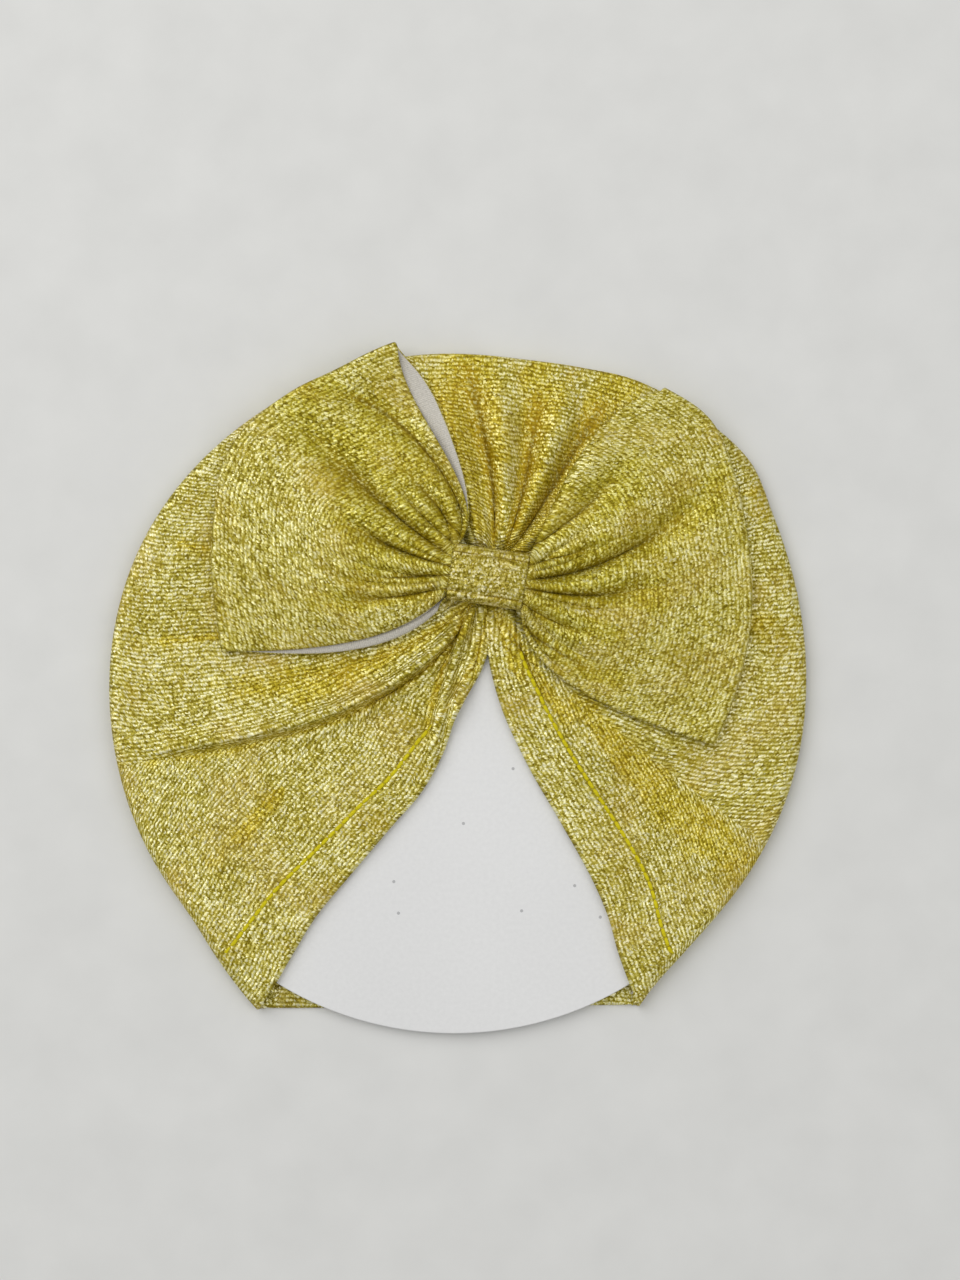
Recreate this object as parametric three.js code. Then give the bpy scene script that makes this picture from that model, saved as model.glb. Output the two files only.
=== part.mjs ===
// A turban cap of stretched metallic knit with a gathered bow, lying flat on the round card that fills it.
// Units are millimetres. +Z is up and +Y runs from the face opening to the crown.
// The origin is under the middle of the card, on the surface that the cap rests on.

import * as THREE from "three";

// Card and cloth
const CARD_RADIUS = 90;
const CARD_THICKNESS = 2;
const CLOTH = 1;
const HEM_THICKNESS = 1.6;
const GAP = 0.35; // between two pieces, or two faces of one, that lie together

// Cap: where it is pinched, the slit between its two hems there, and how high its gathers stand over the
// card
const KNOT_X = 9;
const KNOT_Y = 31.8;
const PINCH_LENGTH = 8;
const PINCH_WIDTH = 5.6;
const SLIT = 0.7;
const GATHER_HEIGHT = 2.6;
const RIM_SQUARENESS = 2.6;

// Band round the waist of the bow
const BAND_LENGTH = 19.5;
const BAND_WIDTH = 15;
const BAND_HEIGHT = 8.4;
const BAND_TILT = THREE.MathUtils.degToRad(-9);
const BAND_SQUARENESS = 3;

// Bow: one closed strip, flattened and drawn in by the band. The puff and the end fold are measured between
// the middles of its two layers.
const LEFT_REACH = 73;
const RIGHT_REACH = 71;
const BOW_PUFF = 6.4;
const END_FOLD = 2.6;
const CREASE_DEPTH = 3.6;
const BOW_REST_GAP = 0.5;

// The outline of the cap about the middle of the card: the angle, and the radius as a share of the card's
const OUTLINE = [
  { degrees: -59.2, radius: 1.073 },
  { degrees: -56, radius: 1.049 },
  { degrees: -51, radius: 1.029 },
  { degrees: -43, radius: 1.017 },
  { degrees: -30, radius: 1.022 },
  { degrees: -15, radius: 1.033 },
  { degrees: 5, radius: 1.043 },
  { degrees: 20, radius: 1.06 },
  { degrees: 33, radius: 1.09 },
  { degrees: 45, radius: 1.092 },
  { degrees: 60, radius: 1.084 },
  { degrees: 69, radius: 1.047 },
  { degrees: 80, radius: 1.02 },
  { degrees: 100, radius: 1.02 },
  { degrees: 125, radius: 1.022 },
  { degrees: 155, radius: 1.033 },
  { degrees: 185, radius: 1.022 },
  { degrees: 207, radius: 1.018 },
  { degrees: 220, radius: 1.02 },
  { degrees: 229, radius: 1.055 },
  { degrees: 237.9, radius: 1.1 },
];

// The ribs of the knit: the angle where each meets the outline, the angle where it goes over the card's
// edge, and the heading with which it leaves the pinch
const RIBS = [
  { degrees: -59.2, over: -58.2, leaves: -86 },
  { degrees: -49, over: -49, leaves: -74 },
  { degrees: -30, over: -30, leaves: -56 },
  { degrees: 0, over: 0, leaves: -25 },
  { degrees: 40, over: 40, leaves: 34 },
  { degrees: 92, over: 92, leaves: 88 },
  { degrees: 140, over: 140, leaves: 150 },
  { degrees: 175, over: 175, leaves: 205 },
  { degrees: 195, over: 195, leaves: 238 },
  { degrees: 228, over: 228, leaves: 256 },
  { degrees: 237.9, over: 237.8, leaves: 266 },
];

// The two front hems, from the pinch to the corners: along is the share of the way down, and side the share
// of the way across from the pinch to the corner
const LEFT_HEM = [
  { along: 0, side: 0 },
  { along: 0.15, side: 0 },
  { along: 0.21, side: 0.035 },
  { along: 0.33, side: 0.155 },
  { along: 0.42, side: 0.215 },
  { along: 0.52, side: 0.32 },
  { along: 0.6, side: 0.45 },
  { along: 0.72, side: 0.64 },
  { along: 0.83, side: 0.81 },
  { along: 0.93, side: 0.925 },
  { along: 1, side: 1 },
];
const RIGHT_HEM = [
  { along: 0, side: 0 },
  { along: 0.15, side: 0 },
  { along: 0.3, side: 0.1 },
  { along: 0.45, side: 0.29 },
  { along: 0.6, side: 0.53 },
  { along: 0.73, side: 0.73 },
  { along: 0.83, side: 0.85 },
  { along: 0.92, side: 0.92 },
  { along: 1, side: 1 },
];

// Shares of the way round the cap, from the left hem to the right one: how wide each hem is, and how far
// the ribs beside a hem follow it
const LEFT_HEM_SHARE = 0.027;
const RIGHT_HEM_SHARE = 0.033;
const HEM_PULL = 0.2;

// Shares of the card's radius between which the gathers die away
const GATHERS_FADE = { from: 0.88, to: 0.99 };

// The back layer: how far its rim starts from each corner, as a share of the way between the corners, and
// how much of the way to that rim the fold takes at most
const BACK_INSET = 0.02;
const BACK_TUCK = 0.6;

// Folds that stand up from the front of the cap. Each crest is a line seen from the pinch: its heading at
// the inner end, halfway and the outer end, and its ends as shares of the card's radius. Height is a share
// of GATHER_HEIGHT, and right and left are the widths of its clockwise and anticlockwise flanks at the
// outer end, as shares of the card's radius. At the inner end a flank is CREST_NARROWS of that.
const CRESTS = [
  { from: 98, half: 101, to: 102, inner: 0.1, outer: 0.6, height: 0.8, right: 0.1, left: 0.13 }, // crown, left
  { from: 66, half: 81, to: 85, inner: 0.1, outer: 0.62, height: 1.15, right: 0.13, left: 0.12 }, // crown, middle
  { from: 53, half: 64, to: 66, inner: 0.12, outer: 0.66, height: 1.1, right: 0.1, left: 0.13 }, // crown, right
  { from: 246, half: 222, to: 205, inner: 0.16, outer: 1.06, height: 1.15, right: 0.26, left: 0.07 }, // left, large
  { from: 257, half: 243, to: 230, inner: 0.14, outer: 0.85, height: 0.7, right: 0.14, left: 0.12 }, // left, small
  { from: -76, half: -63, to: -58, inner: 0.14, outer: 0.8, height: 0.45, right: 0.14, left: 0.2 }, // right hem
  { from: -56, half: -46, to: -40, inner: 0.3, outer: 0.95, height: 0.35, right: 0.14, left: 0.14 }, // right side
];

const CREST_NARROWS = 0.35;

// The strip of the bow: for a share of its width from the upper side edge, the heading and reach of its end
// fold seen from the knot, and its headings where it leaves the band and where it reaches the fold
const LEFT_END = [
  { across: 0, heading: 111.7, reach: 0.92, leaves: 72, arrives: 93 },
  { across: 0.14, heading: 125.8, reach: 0.935, leaves: 124, arrives: 110 },
  { across: 0.28, heading: 137, reach: 0.985, leaves: 158, arrives: 122 },
  { across: 0.45, heading: 153, reach: 1.05, leaves: 171, arrives: 142 },
  { across: 0.65, heading: 169, reach: 1.02, leaves: 186, arrives: 166 },
  { across: 0.85, heading: 186, reach: 1.0, leaves: 204, arrives: 178 },
  { across: 1, heading: 196.5, reach: 0.99, leaves: 226, arrives: 180 },
];
const RIGHT_END = [
  { across: 0, heading: 46.8, reach: 0.97, leaves: 90, arrives: 12 },
  { across: 0.15, heading: 35, reach: 1.01, leaves: 44, arrives: 26 },
  { across: 0.3, heading: 23, reach: 1.035, leaves: 8, arrives: 36 },
  { across: 0.46, heading: 10, reach: 0.99, leaves: -8, arrives: 18 },
  { across: 0.65, heading: -6, reach: 0.995, leaves: -22, arrives: 0 },
  { across: 0.83, heading: -23, reach: 1.02, leaves: -42, arrives: -14 },
  { across: 1, heading: -37.3, reach: 1.085, leaves: -94, arrives: -19 },
];

// How far the two layers of a loop stand apart, from the band out to the fold, as a share of BOW_PUFF
const LOOP_SPREAD = [
  { out: 0, spread: 0.62 },
  { out: 0.12, spread: 0.84 },
  { out: 0.28, spread: 1 },
  { out: 0.5, spread: 0.84 },
  { out: 0.75, spread: 0.56 },
  { out: 1, spread: 0.42 },
];

// Creases in the upper layer of each loop: the share across where each leaves the band and where it would
// meet the end fold, how far out it ends, its depth as a share of CREASE_DEPTH, and the share of the width
// that it takes up
const LEFT_CREASES = [
  { from: 0.07, to: 0.3, ends: 1, depth: 0.45, width: 0.08 },
  { from: 0.33, to: 0.33, ends: 0.75, depth: 1, width: 0.05 },
  { from: 0.47, to: 0.47, ends: 0.6, depth: 0.85, width: 0.05 },
  { from: 0.62, to: 0.62, ends: 0.5, depth: 0.7, width: 0.05 },
];
const RIGHT_CREASES = [
  { from: 0.17, to: 0.17, ends: 0.45, depth: 0.5, width: 0.06 },
  { from: 0.34, to: 0.34, ends: 0.8, depth: 1, width: 0.055 },
  { from: 0.52, to: 0.52, ends: 0.6, depth: 0.8, width: 0.05 },
  { from: 0.8, to: 0.8, ends: 0.3, depth: 0.5, width: 0.06 },
];

// How far the lower layer of a loop shows past the upper one, at the upper and the lower side edge
const LEFT_SHOWS = { upper: 4, lower: 2 };
const RIGHT_SHOWS = { upper: 0, lower: 0 };

// Shares of the way out along a loop: where the arch of the waist has opened, where the lower layer has
// come down to the cap, and where the layers start to close to the end fold
const WAIST_OPENS = 0.12;
const LOOP_LANDS = 0.16;
const FOLD_STARTS = 0.85;

// The puff at the side edges of a loop, as a share of the puff in its middle
const SIDE_PUFF = 0.42;

// Heights that follow from the sizes above
const CARD_BOTTOM = CLOTH + GAP;
const CARD_TOP = CARD_BOTTOM + CARD_THICKNESS;
const FRONT_TOP = CARD_TOP + GAP + CLOTH;
const FRONT_MIDDLE = FRONT_TOP - CLOTH / 2;
const BACK_MIDDLE = CLOTH / 2;
const BAND_BOTTOM = FRONT_TOP + HEM_THICKNESS - CLOTH + GAP;
const WAIST_MIDDLE = BAND_BOTTOM + BAND_HEIGHT / 2;
const WAIST_HEIGHT = BAND_HEIGHT - 2 * (CLOTH + GAP) - CLOTH;
const WAIST_WIDTH = BAND_WIDTH - 2 * (CLOTH + GAP) - CLOTH;
const WAIST_LENGTH = BAND_LENGTH + 2 * GAP;

// The steps along a rib of the cap lie closer together near the pinch the further this is over 1
const RAY_BUNCHING = 1.25;

// How finely each piece is divided
const CAP_RAYS = 84;
const FRONT_STEPS = 12;
const RIM_STEPS = 4;
const BACK_STEPS = 2;
const BOW_RIBS = 26;
const UPPER_STEPS = 11;
const LOWER_STEPS = 5;
const FOLD_STEPS = 3;
const BAND_SIDES = 24;
const BAND_SECTIONS = 3;
const CARD_SIDES = 72;

const { clamp, degToRad, lerp, smoothstep } = THREE.MathUtils;
const direction = (radians) => new THREE.Vector2(Math.cos(radians), Math.sin(radians));

// Shares from 0 to 1 in equal steps, and the same without the 1, for a ring
const shares = (steps) => Array.from({ length: steps + 1 }, (_, i) => i / steps);
const ringShares = (steps) => Array.from({ length: steps }, (_, i) => i / steps);

// One power of a sine or cosine that keeps its sign: an ellipse's coordinate when squareness is 2, and
// nearer to a rectangle's above that
const squared = (value, squareness) => Math.sign(value) * Math.abs(value) ** (2 / squareness);

// A smooth curve through one column of a table
function column(rows, at, value) {
  const places = rows.map((row) => row[at]);
  const values = rows.map((row) => row[value]);
  const curve = new THREE.CubicInterpolant(places, values, 1);
  return (place) => curve.evaluate(place)[0];
}

// A flat curve from one point to another that leaves and arrives along given directions
function sweep(start, leaves, end, arrives, way) {
  const pull = start.distanceTo(end);
  const rest = 1 - way;
  const startWeight = rest * rest * (1 + 2 * way);
  const endWeight = way * way * (1 + 2 * rest);
  return new THREE.Vector2()
    .addScaledVector(start, startWeight)
    .addScaledVector(end, endWeight)
    .addScaledVector(leaves, pull * way * rest * rest)
    .addScaledVector(arrives, -pull * way * way * rest);
}

// A closed solid of cloth about a middle surface. pointAt(u, v) gives a point of that surface for shares u
// along it and v across it, and thicknessAt the cloth's thickness there. A ring is closed along u.
function clothGeometry(along, across, pointAt, thicknessAt, ring = false) {
  const rows = along.length;
  const columns = across.length;
  const nudge = 1e-4;
  const slope = (u, v, du, dv) => {
    const before = pointAt(ring ? u - du : Math.max(u - du, 0), Math.max(v - dv, 0));
    const after = pointAt(ring ? u + du : Math.min(u + du, 1), Math.min(v + dv, 1));
    return after.sub(before);
  };
  const positions = [];
  for (const side of [1, -1]) {
    for (const u of along) {
      for (const v of across) {
        const normal = slope(u, v, nudge, 0).cross(slope(u, v, 0, nudge)).normalize();
        const point = pointAt(u, v).addScaledVector(normal, (side * thicknessAt(u, v)) / 2);
        positions.push(point.x, point.y, point.z);
      }
    }
  }
  const vertex = (side, row, col) => side * rows * columns + (row % rows) * columns + col;
  const faces = [];
  const quad = (a, b, c, d) => faces.push(a, b, c, a, c, d);
  const lastRow = ring ? rows : rows - 1;
  for (let row = 0; row < lastRow; row++) {
    for (let col = 0; col < columns - 1; col++) {
      quad(vertex(0, row, col), vertex(0, row + 1, col), vertex(0, row + 1, col + 1), vertex(0, row, col + 1));
      quad(vertex(1, row, col), vertex(1, row, col + 1), vertex(1, row + 1, col + 1), vertex(1, row + 1, col));
    }
    const end = columns - 1;
    quad(vertex(0, row, 0), vertex(1, row, 0), vertex(1, row + 1, 0), vertex(0, row + 1, 0));
    quad(vertex(0, row, end), vertex(0, row + 1, end), vertex(1, row + 1, end), vertex(1, row, end));
  }
  for (let col = 0; col < columns - 1 && !ring; col++) {
    const end = rows - 1;
    quad(vertex(0, 0, col), vertex(0, 0, col + 1), vertex(1, 0, col + 1), vertex(1, 0, col));
    quad(vertex(0, end, col), vertex(1, end, col), vertex(1, end, col + 1), vertex(0, end, col + 1));
  }
  const geometry = new THREE.BufferGeometry();
  geometry.setAttribute("position", new THREE.Float32BufferAttribute(positions, 3));
  geometry.setIndex(faces);
  geometry.computeVertexNormals();
  return geometry;
}

// The cap
const outlineShare = column(OUTLINE, "degrees", "radius");
const ribLeaves = column(RIBS, "degrees", "leaves");
const ribOver = column(RIBS, "degrees", "over");
const knot = new THREE.Vector2(KNOT_X, KNOT_Y);
const RIGHT_CORNER_DEGREES = OUTLINE[0].degrees;
const LEFT_CORNER_DEGREES = OUTLINE[OUTLINE.length - 1].degrees;
const rayDegrees = (u) => lerp(LEFT_CORNER_DEGREES, RIGHT_CORNER_DEGREES, u);

// Where the cloth folds over from front to back, at the middle of its thickness
function foldPoint(u) {
  const degrees = rayDegrees(u);
  return direction(degToRad(degrees)).multiplyScalar(CARD_RADIUS * outlineShare(degrees) - CLOTH / 2);
}

// Where the front leaves the flat of the card, on the way to that fold
function shoulderPoint(u) {
  return direction(degToRad(ribOver(rayDegrees(u)))).multiplyScalar(CARD_RADIUS - GAP);
}

function pinchPoint(u) {
  const radians = degToRad(ribLeaves(rayDegrees(u)));
  return new THREE.Vector2(
    knot.x + (PINCH_LENGTH / 2) * Math.cos(radians),
    knot.y + (PINCH_WIDTH / 2) * Math.sin(radians),
  );
}

// One front hem, from the pinch at along 0 to the shoulder near its corner at along 1
function hemCurve(rows, u, hand) {
  const down = column(rows, "along", "side");
  const start = new THREE.Vector2(knot.x + (hand * SLIT) / 2, pinchPoint(u).y);
  const end = shoulderPoint(u);
  return (along) => new THREE.Vector2(lerp(start.x, end.x, down(along)), lerp(start.y, end.y, along));
}
const leftHem = hemCurve(LEFT_HEM, 0, -1);
const rightHem = hemCurve(RIGHT_HEM, 1, 1);

function freeRib(u, along) {
  const leaves = direction(degToRad(ribLeaves(rayDegrees(u))));
  const arrives = direction(degToRad(rayDegrees(u)));
  return sweep(pinchPoint(u), leaves, shoulderPoint(u), arrives, along);
}

// A rib of the front, drawn towards the hem that it runs beside
function ribPoint(u, along) {
  const point = freeRib(u, along);
  const leftPull = 1 - smoothstep(u, 0, HEM_PULL);
  const rightPull = 1 - smoothstep(1 - u, 0, HEM_PULL);
  point.addScaledVector(leftHem(along).sub(freeRib(0, along)), leftPull);
  point.addScaledVector(rightHem(along).sub(freeRib(1, along)), rightPull);
  return point;
}

// How far a fold lifts the front at a distance and heading from the pinch
function crestLift(crest, distance, radians) {
  const inner = crest.inner * CARD_RADIUS;
  const outer = crest.outer * CARD_RADIUS;
  const way = clamp((distance - inner) / (outer - inner), 0, 1);
  const degrees =
    crest.from * (1 - way) * (1 - 2 * way) + crest.half * 4 * way * (1 - way) + crest.to * way * (2 * way - 1);
  const turn = radians - degToRad(degrees);
  const offset = Math.atan2(Math.sin(turn), Math.cos(turn)) * distance;
  const flank = (offset > 0 ? crest.left : crest.right) * CARD_RADIUS * lerp(CREST_NARROWS, 1, way);
  const profile = Math.exp(-2 * (offset / flank) ** 2);
  const starts = smoothstep(distance, 0.6 * inner, 1.6 * inner);
  const ends = 1 - smoothstep(distance, 0.7 * outer, outer);
  return crest.height * GATHER_HEIGHT * profile * starts * ends;
}

// The height of the cap's outer face over a place on the front
function frontTop(place) {
  const fromKnot = place.clone().sub(knot);
  const distance = fromKnot.length();
  const radians = Math.atan2(fromKnot.y, fromKnot.x);
  const lift = CRESTS.reduce((sum, crest) => sum + crestLift(crest, distance, radians), 0);
  const out = place.length() / CARD_RADIUS;
  return FRONT_TOP + lift * (1 - smoothstep(out, GATHERS_FADE.from, GATHERS_FADE.to));
}

// Rays run from the pinch over the front, round the rim and under the back to the back's rim, which runs
// straight between the corners
const RAY_STEPS = FRONT_STEPS + RIM_STEPS + BACK_STEPS;
const frontEnd = FRONT_STEPS / RAY_STEPS;
const rimEnd = (FRONT_STEPS + RIM_STEPS) / RAY_STEPS;

function frontPoint(u, along) {
  const place = ribPoint(u, along);
  const hemRise = capThickness(u, 0) / 2 - CLOTH;
  return new THREE.Vector3(place.x, place.y, frontTop(place) + hemRise);
}

function capThickness(u, v) {
  const hem = u < LEFT_HEM_SHARE || u > 1 - RIGHT_HEM_SHARE;
  return hem && v < frontEnd ? HEM_THICKNESS : CLOTH;
}

function capPoint(u, v) {
  if (v < frontEnd) return frontPoint(u, (v / frontEnd) ** RAY_BUNCHING);
  const fold = foldPoint(u);
  const shoulder = shoulderPoint(u);
  const backRim = foldPoint(0).lerp(foldPoint(1), lerp(BACK_INSET, 1 - BACK_INSET, u));
  const tuck = Math.min(fold.distanceTo(shoulder), fold.distanceTo(backRim) * BACK_TUCK);
  const under = fold.clone().add(backRim.clone().sub(fold).setLength(tuck));
  if (v > rimEnd) {
    const place = under.lerp(backRim, (v - rimEnd) / (1 - rimEnd));
    return new THREE.Vector3(place.x, place.y, BACK_MIDDLE);
  }
  const turn = (Math.PI * (v - frontEnd)) / (rimEnd - frontEnd);
  const inside = turn < Math.PI / 2 ? shoulder : under;
  const place = inside.clone().lerp(fold, squared(Math.sin(turn), RIM_SQUARENESS));
  const rise = squared(Math.cos(turn), RIM_SQUARENESS) * (FRONT_MIDDLE - BACK_MIDDLE);
  return new THREE.Vector3(place.x, place.y, (FRONT_MIDDLE + BACK_MIDDLE + rise) / 2);
}

const capGeometry = () => clothGeometry(shares(CAP_RAYS), shares(RAY_STEPS), capPoint, capThickness);

// The bow
const bandDirection = direction(BAND_TILT);
const bandAcross = direction(BAND_TILT + Math.PI / 2);

// A place in the waist: along the band from its middle, and across from the upper side edge
function waistPlace(along, across) {
  return knot
    .clone()
    .addScaledVector(bandDirection, along)
    .addScaledVector(bandAcross, (0.5 - across) * WAIST_WIDTH);
}

// Half the height between the two layers of the strip inside the band
function waistArch(across) {
  const round = (1 - Math.abs(2 * across - 1) ** BAND_SQUARENESS) ** (1 / BAND_SQUARENESS);
  return Math.max((WAIST_HEIGHT / 2) * round, (CLOTH + GAP) / 2);
}

// One loop of the bow. hand is -1 to the left of the band and 1 to the right. In each function, out is the
// share of the way from the band to the end fold, and across the share of the strip's width.
function bowLoop(rows, reach, creases, shows, hand) {
  const headingAt = column(rows, "across", "heading");
  const reachAt = column(rows, "across", "reach");
  const leavesAt = column(rows, "across", "leaves");
  const arrivesAt = column(rows, "across", "arrives");
  const spreadAt = column(LOOP_SPREAD, "out", "spread");
  const endNormal = (across) => direction(degToRad(headingAt(across)));

  const place = (out, across) => {
    const foldReach = reachAt(across) * reach - (END_FOLD + CLOTH) / 2;
    const end = endNormal(across).multiplyScalar(foldReach).add(knot);
    const leaves = direction(degToRad(leavesAt(across)));
    const arrives = direction(degToRad(arrivesAt(across)));
    return sweep(waistPlace((hand * WAIST_LENGTH) / 2, across), leaves, end, arrives, out);
  };

  const lowerPlace = (out, across) => {
    const at = place(out, across);
    const way = place(Math.min(out + 0.01, 1), across).sub(at);
    const sideways = new THREE.Vector2(-way.y, way.x).setLength(Math.sin(Math.PI * out ** 1.4));
    return at.addScaledVector(sideways, hand * (shows.upper * (1 - across) ** 4 - shows.lower * across ** 4));
  };

  const lowerHeight = (out, across) => {
    const landed = frontTop(lowerPlace(out, across)) + BOW_REST_GAP + CLOTH / 2;
    return lerp(WAIST_MIDDLE - waistArch(across), landed, smoothstep(out, 0, LOOP_LANDS));
  };

  const creaseDepth = (crease, out, across) => {
    const middle = lerp(crease.from, crease.to, out ** 3);
    const profile = Math.exp(-(((across - middle) / crease.width) ** 2));
    const fades = 1 - smoothstep(out, crease.ends / 4, crease.ends);
    return crease.depth * CREASE_DEPTH * profile * fades;
  };

  const spread = (out, across) => {
    const opened = smoothstep(out, 0, WAIST_OPENS);
    const sidePuff = lerp(SIDE_PUFF, 1, Math.sin(Math.PI * across) ** 0.6);
    const free = Math.max(spreadAt(out) * BOW_PUFF * lerp(1, sidePuff, opened), END_FOLD);
    const cut = creases.reduce((sum, crease) => sum + creaseDepth(crease, out, across), 0);
    const creased = lerp(2 * waistArch(across), Math.max(free - cut, CLOTH + GAP), opened);
    return lerp(creased, END_FOLD, smoothstep(out, FOLD_STARTS, 1));
  };

  return {
    lower: (out, across) => {
      const at = lowerPlace(out, across);
      return new THREE.Vector3(at.x, at.y, lowerHeight(out, across));
    },
    fold: (turned, across) => {
      const turn = Math.PI * turned;
      const at = place(1, across).addScaledVector(endNormal(across), (END_FOLD / 2) * Math.sin(turn));
      return new THREE.Vector3(at.x, at.y, lowerHeight(1, across) + (END_FOLD / 2) * (1 - Math.cos(turn)));
    },
    upper: (out, across) => {
      const at = place(out, across);
      return new THREE.Vector3(at.x, at.y, lowerHeight(out, across) + spread(out, across));
    },
  };
}

// The lines across one loop of the strip, from the lower layer at the band, round the end fold, and back to
// the band in the upper layer. Each line gives a point for a share across.
function loopLines(loop) {
  const lines = shares(LOWER_STEPS).map((out) => (across) => loop.lower(out, across));
  for (const turned of shares(FOLD_STEPS).slice(1, -1)) lines.push((across) => loop.fold(turned, across));
  for (const out of shares(UPPER_STEPS).reverse()) lines.push((across) => loop.upper(out, across));
  return lines;
}

function bowGeometry() {
  const left = loopLines(bowLoop(LEFT_END, LEFT_REACH, LEFT_CREASES, LEFT_SHOWS, -1));
  const right = loopLines(bowLoop(RIGHT_END, RIGHT_REACH, RIGHT_CREASES, RIGHT_SHOWS, 1));
  const lines = [...left, ...right.reverse()];
  const stripPoint = (u, v) => {
    const spot = (u - Math.floor(u)) * lines.length;
    const line = Math.floor(spot);
    return lines[line](v).lerp(lines[(line + 1) % lines.length](v), spot - line);
  };
  return clothGeometry(ringShares(lines.length), shares(BOW_RIBS), stripPoint, () => CLOTH, true);
}

function bandPoint(u, v) {
  const turn = 2 * Math.PI * u;
  const side = squared(Math.cos(turn), BAND_SQUARENESS) * (BAND_WIDTH - CLOTH);
  const rise = squared(Math.sin(turn), BAND_SQUARENESS) * (BAND_HEIGHT - CLOTH);
  const at = knot.clone().addScaledVector(bandDirection, (v - 0.5) * BAND_LENGTH);
  at.addScaledVector(bandAcross, side / 2);
  return new THREE.Vector3(at.x, at.y, WAIST_MIDDLE + rise / 2);
}

function bandGeometry() {
  return clothGeometry(ringShares(BAND_SIDES), shares(BAND_SECTIONS), bandPoint, () => CLOTH, true);
}

function cardGeometry() {
  const geometry = new THREE.CylinderGeometry(CARD_RADIUS, CARD_RADIUS, CARD_THICKNESS, CARD_SIDES);
  geometry.rotateX(Math.PI / 2);
  geometry.translate(0, 0, (CARD_BOTTOM + CARD_TOP) / 2);
  return geometry;
}

// The assembly
function piece(name, geometry, color, metalness) {
  const mesh = new THREE.Mesh(geometry, new THREE.MeshStandardMaterial({ color, metalness, roughness: 0.45 }));
  mesh.name = name;
  return mesh;
}

const turbanCap = new THREE.Group();
turbanCap.add(piece("display_card", cardGeometry(), 0xdcdcdc, 0));
turbanCap.add(piece("cap", capGeometry(), 0xb5a654, 0.6));
turbanCap.add(piece("bow", bowGeometry(), 0xad9c4a, 0.6));
turbanCap.add(piece("bow_band", bandGeometry(), 0xa4984e, 0.6));

export default turbanCap;
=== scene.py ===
import math

import bpy
import numpy as np
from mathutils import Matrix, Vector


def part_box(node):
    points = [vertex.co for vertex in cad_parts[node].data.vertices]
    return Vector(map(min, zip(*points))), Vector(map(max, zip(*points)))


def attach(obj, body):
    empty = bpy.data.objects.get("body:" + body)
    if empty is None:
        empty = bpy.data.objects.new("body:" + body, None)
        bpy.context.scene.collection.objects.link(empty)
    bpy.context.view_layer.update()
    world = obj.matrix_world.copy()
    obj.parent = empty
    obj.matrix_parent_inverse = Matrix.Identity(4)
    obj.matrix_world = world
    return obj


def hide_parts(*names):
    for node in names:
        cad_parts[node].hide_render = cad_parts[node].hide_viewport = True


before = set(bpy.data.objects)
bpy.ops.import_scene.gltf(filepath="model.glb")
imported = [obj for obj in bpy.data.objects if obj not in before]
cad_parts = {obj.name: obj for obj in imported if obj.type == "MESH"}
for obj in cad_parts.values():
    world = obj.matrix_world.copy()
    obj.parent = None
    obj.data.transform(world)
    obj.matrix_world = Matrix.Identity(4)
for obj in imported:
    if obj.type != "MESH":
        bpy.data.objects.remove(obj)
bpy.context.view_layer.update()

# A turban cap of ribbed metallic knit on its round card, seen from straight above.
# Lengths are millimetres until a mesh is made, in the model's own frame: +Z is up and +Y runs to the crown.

MM = 0.001
rng = np.random.default_rng(7)

card_low, card_high = np.array(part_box("display_card")) / MM
band_low, band_high = np.array(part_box("bow_band")) / MM

# Card and cloth
CARD_RADIUS = (card_high[0] - card_low[0]) / 2
CARD_BOTTOM = card_low[2]
CARD_TOP = card_high[2]
CARD_SIDES = 256
CARD_EDGE = 0.25
CLOTH = 0.9
EDGE_ROLL = 0.8
HEM_THICKNESS = 1.6
GAP = 0.35
FRONT_TOP = CARD_TOP + GAP + 1
FRONT_MIDDLE = FRONT_TOP - CLOTH / 2
BACK_MIDDLE = CLOTH / 2

# Cap: where it is pinched, the slit between its hems there, and the height of its gathers
KNOT = np.array([9.0, 31.8])
PINCH_LENGTH = 8.0
PINCH_WIDTH = 5.6
SLIT = 0.7
GATHER_HEIGHT = 2.9
RIM_SQUARENESS = 2.6
RIM_INSET = 0.5
BACK_INSET = 0.02
BACK_TUCK = 0.6
HEM_PULL = 0.2
SEAM_DEPTH = 0.35
SEAM_WIDTH = 0.7
PRESSED_FOLDS = 0.5

# The hem stitches: how finely their line is found, and the size of each piece of thread
HEM_LINE_STEPS = 240
HEM_LINE_RAYS = 400
THREAD_LIFT = 0.2
THREAD_LENGTH = 2.5
THREAD_SPACING = 2.6
THREAD_RADIUS = 0.5
THREAD_RINGS = 7
THREAD_SIDES = 8

# Band and bow
BAND_LENGTH = 19.5
BAND_WIDTH = 15.0
BAND_HEIGHT = band_high[2] - band_low[2]
BAND_MIDDLE = (band_high[2] + band_low[2]) / 2
BAND_TILT = math.radians(-9)
BAND_SQUARENESS = 3.0
BAND_SIDES = 144
BAND_STEPS = 60
LIP_GROOVE_AT = 5.1
LIP_GROOVE_WIDTH = 0.5
LIP_GROOVE_DEPTH = 0.55
LEFT_REACH = 73.0
RIGHT_REACH = 71.0
BOW_PUFF = 6.4
END_FOLD = 2.2
END_INSET = (END_FOLD + 1) / 2
SIDE_PUFF = 0.3
BOW_REST_GAP = 0.5
WAIST_HEIGHT = BAND_HEIGHT - 2 * (CLOTH + GAP) - CLOTH
WAIST_WIDTH = BAND_WIDTH - 2 * (CLOTH + GAP) - CLOTH
WAIST_LENGTH = BAND_LENGTH + 2 * GAP
WAIST_OPENS = 0.07
LOOP_LANDS = 0.16
FOLD_STARTS = 0.85
UPPER_PLEATS = 7
UPPER_PLEAT_HEIGHT = 2.2
LOWER_PLEATS = 17
LOWER_PLEAT_HEIGHT = 3.0
LOWER_PLEAT_ROOM = 0.6
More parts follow.
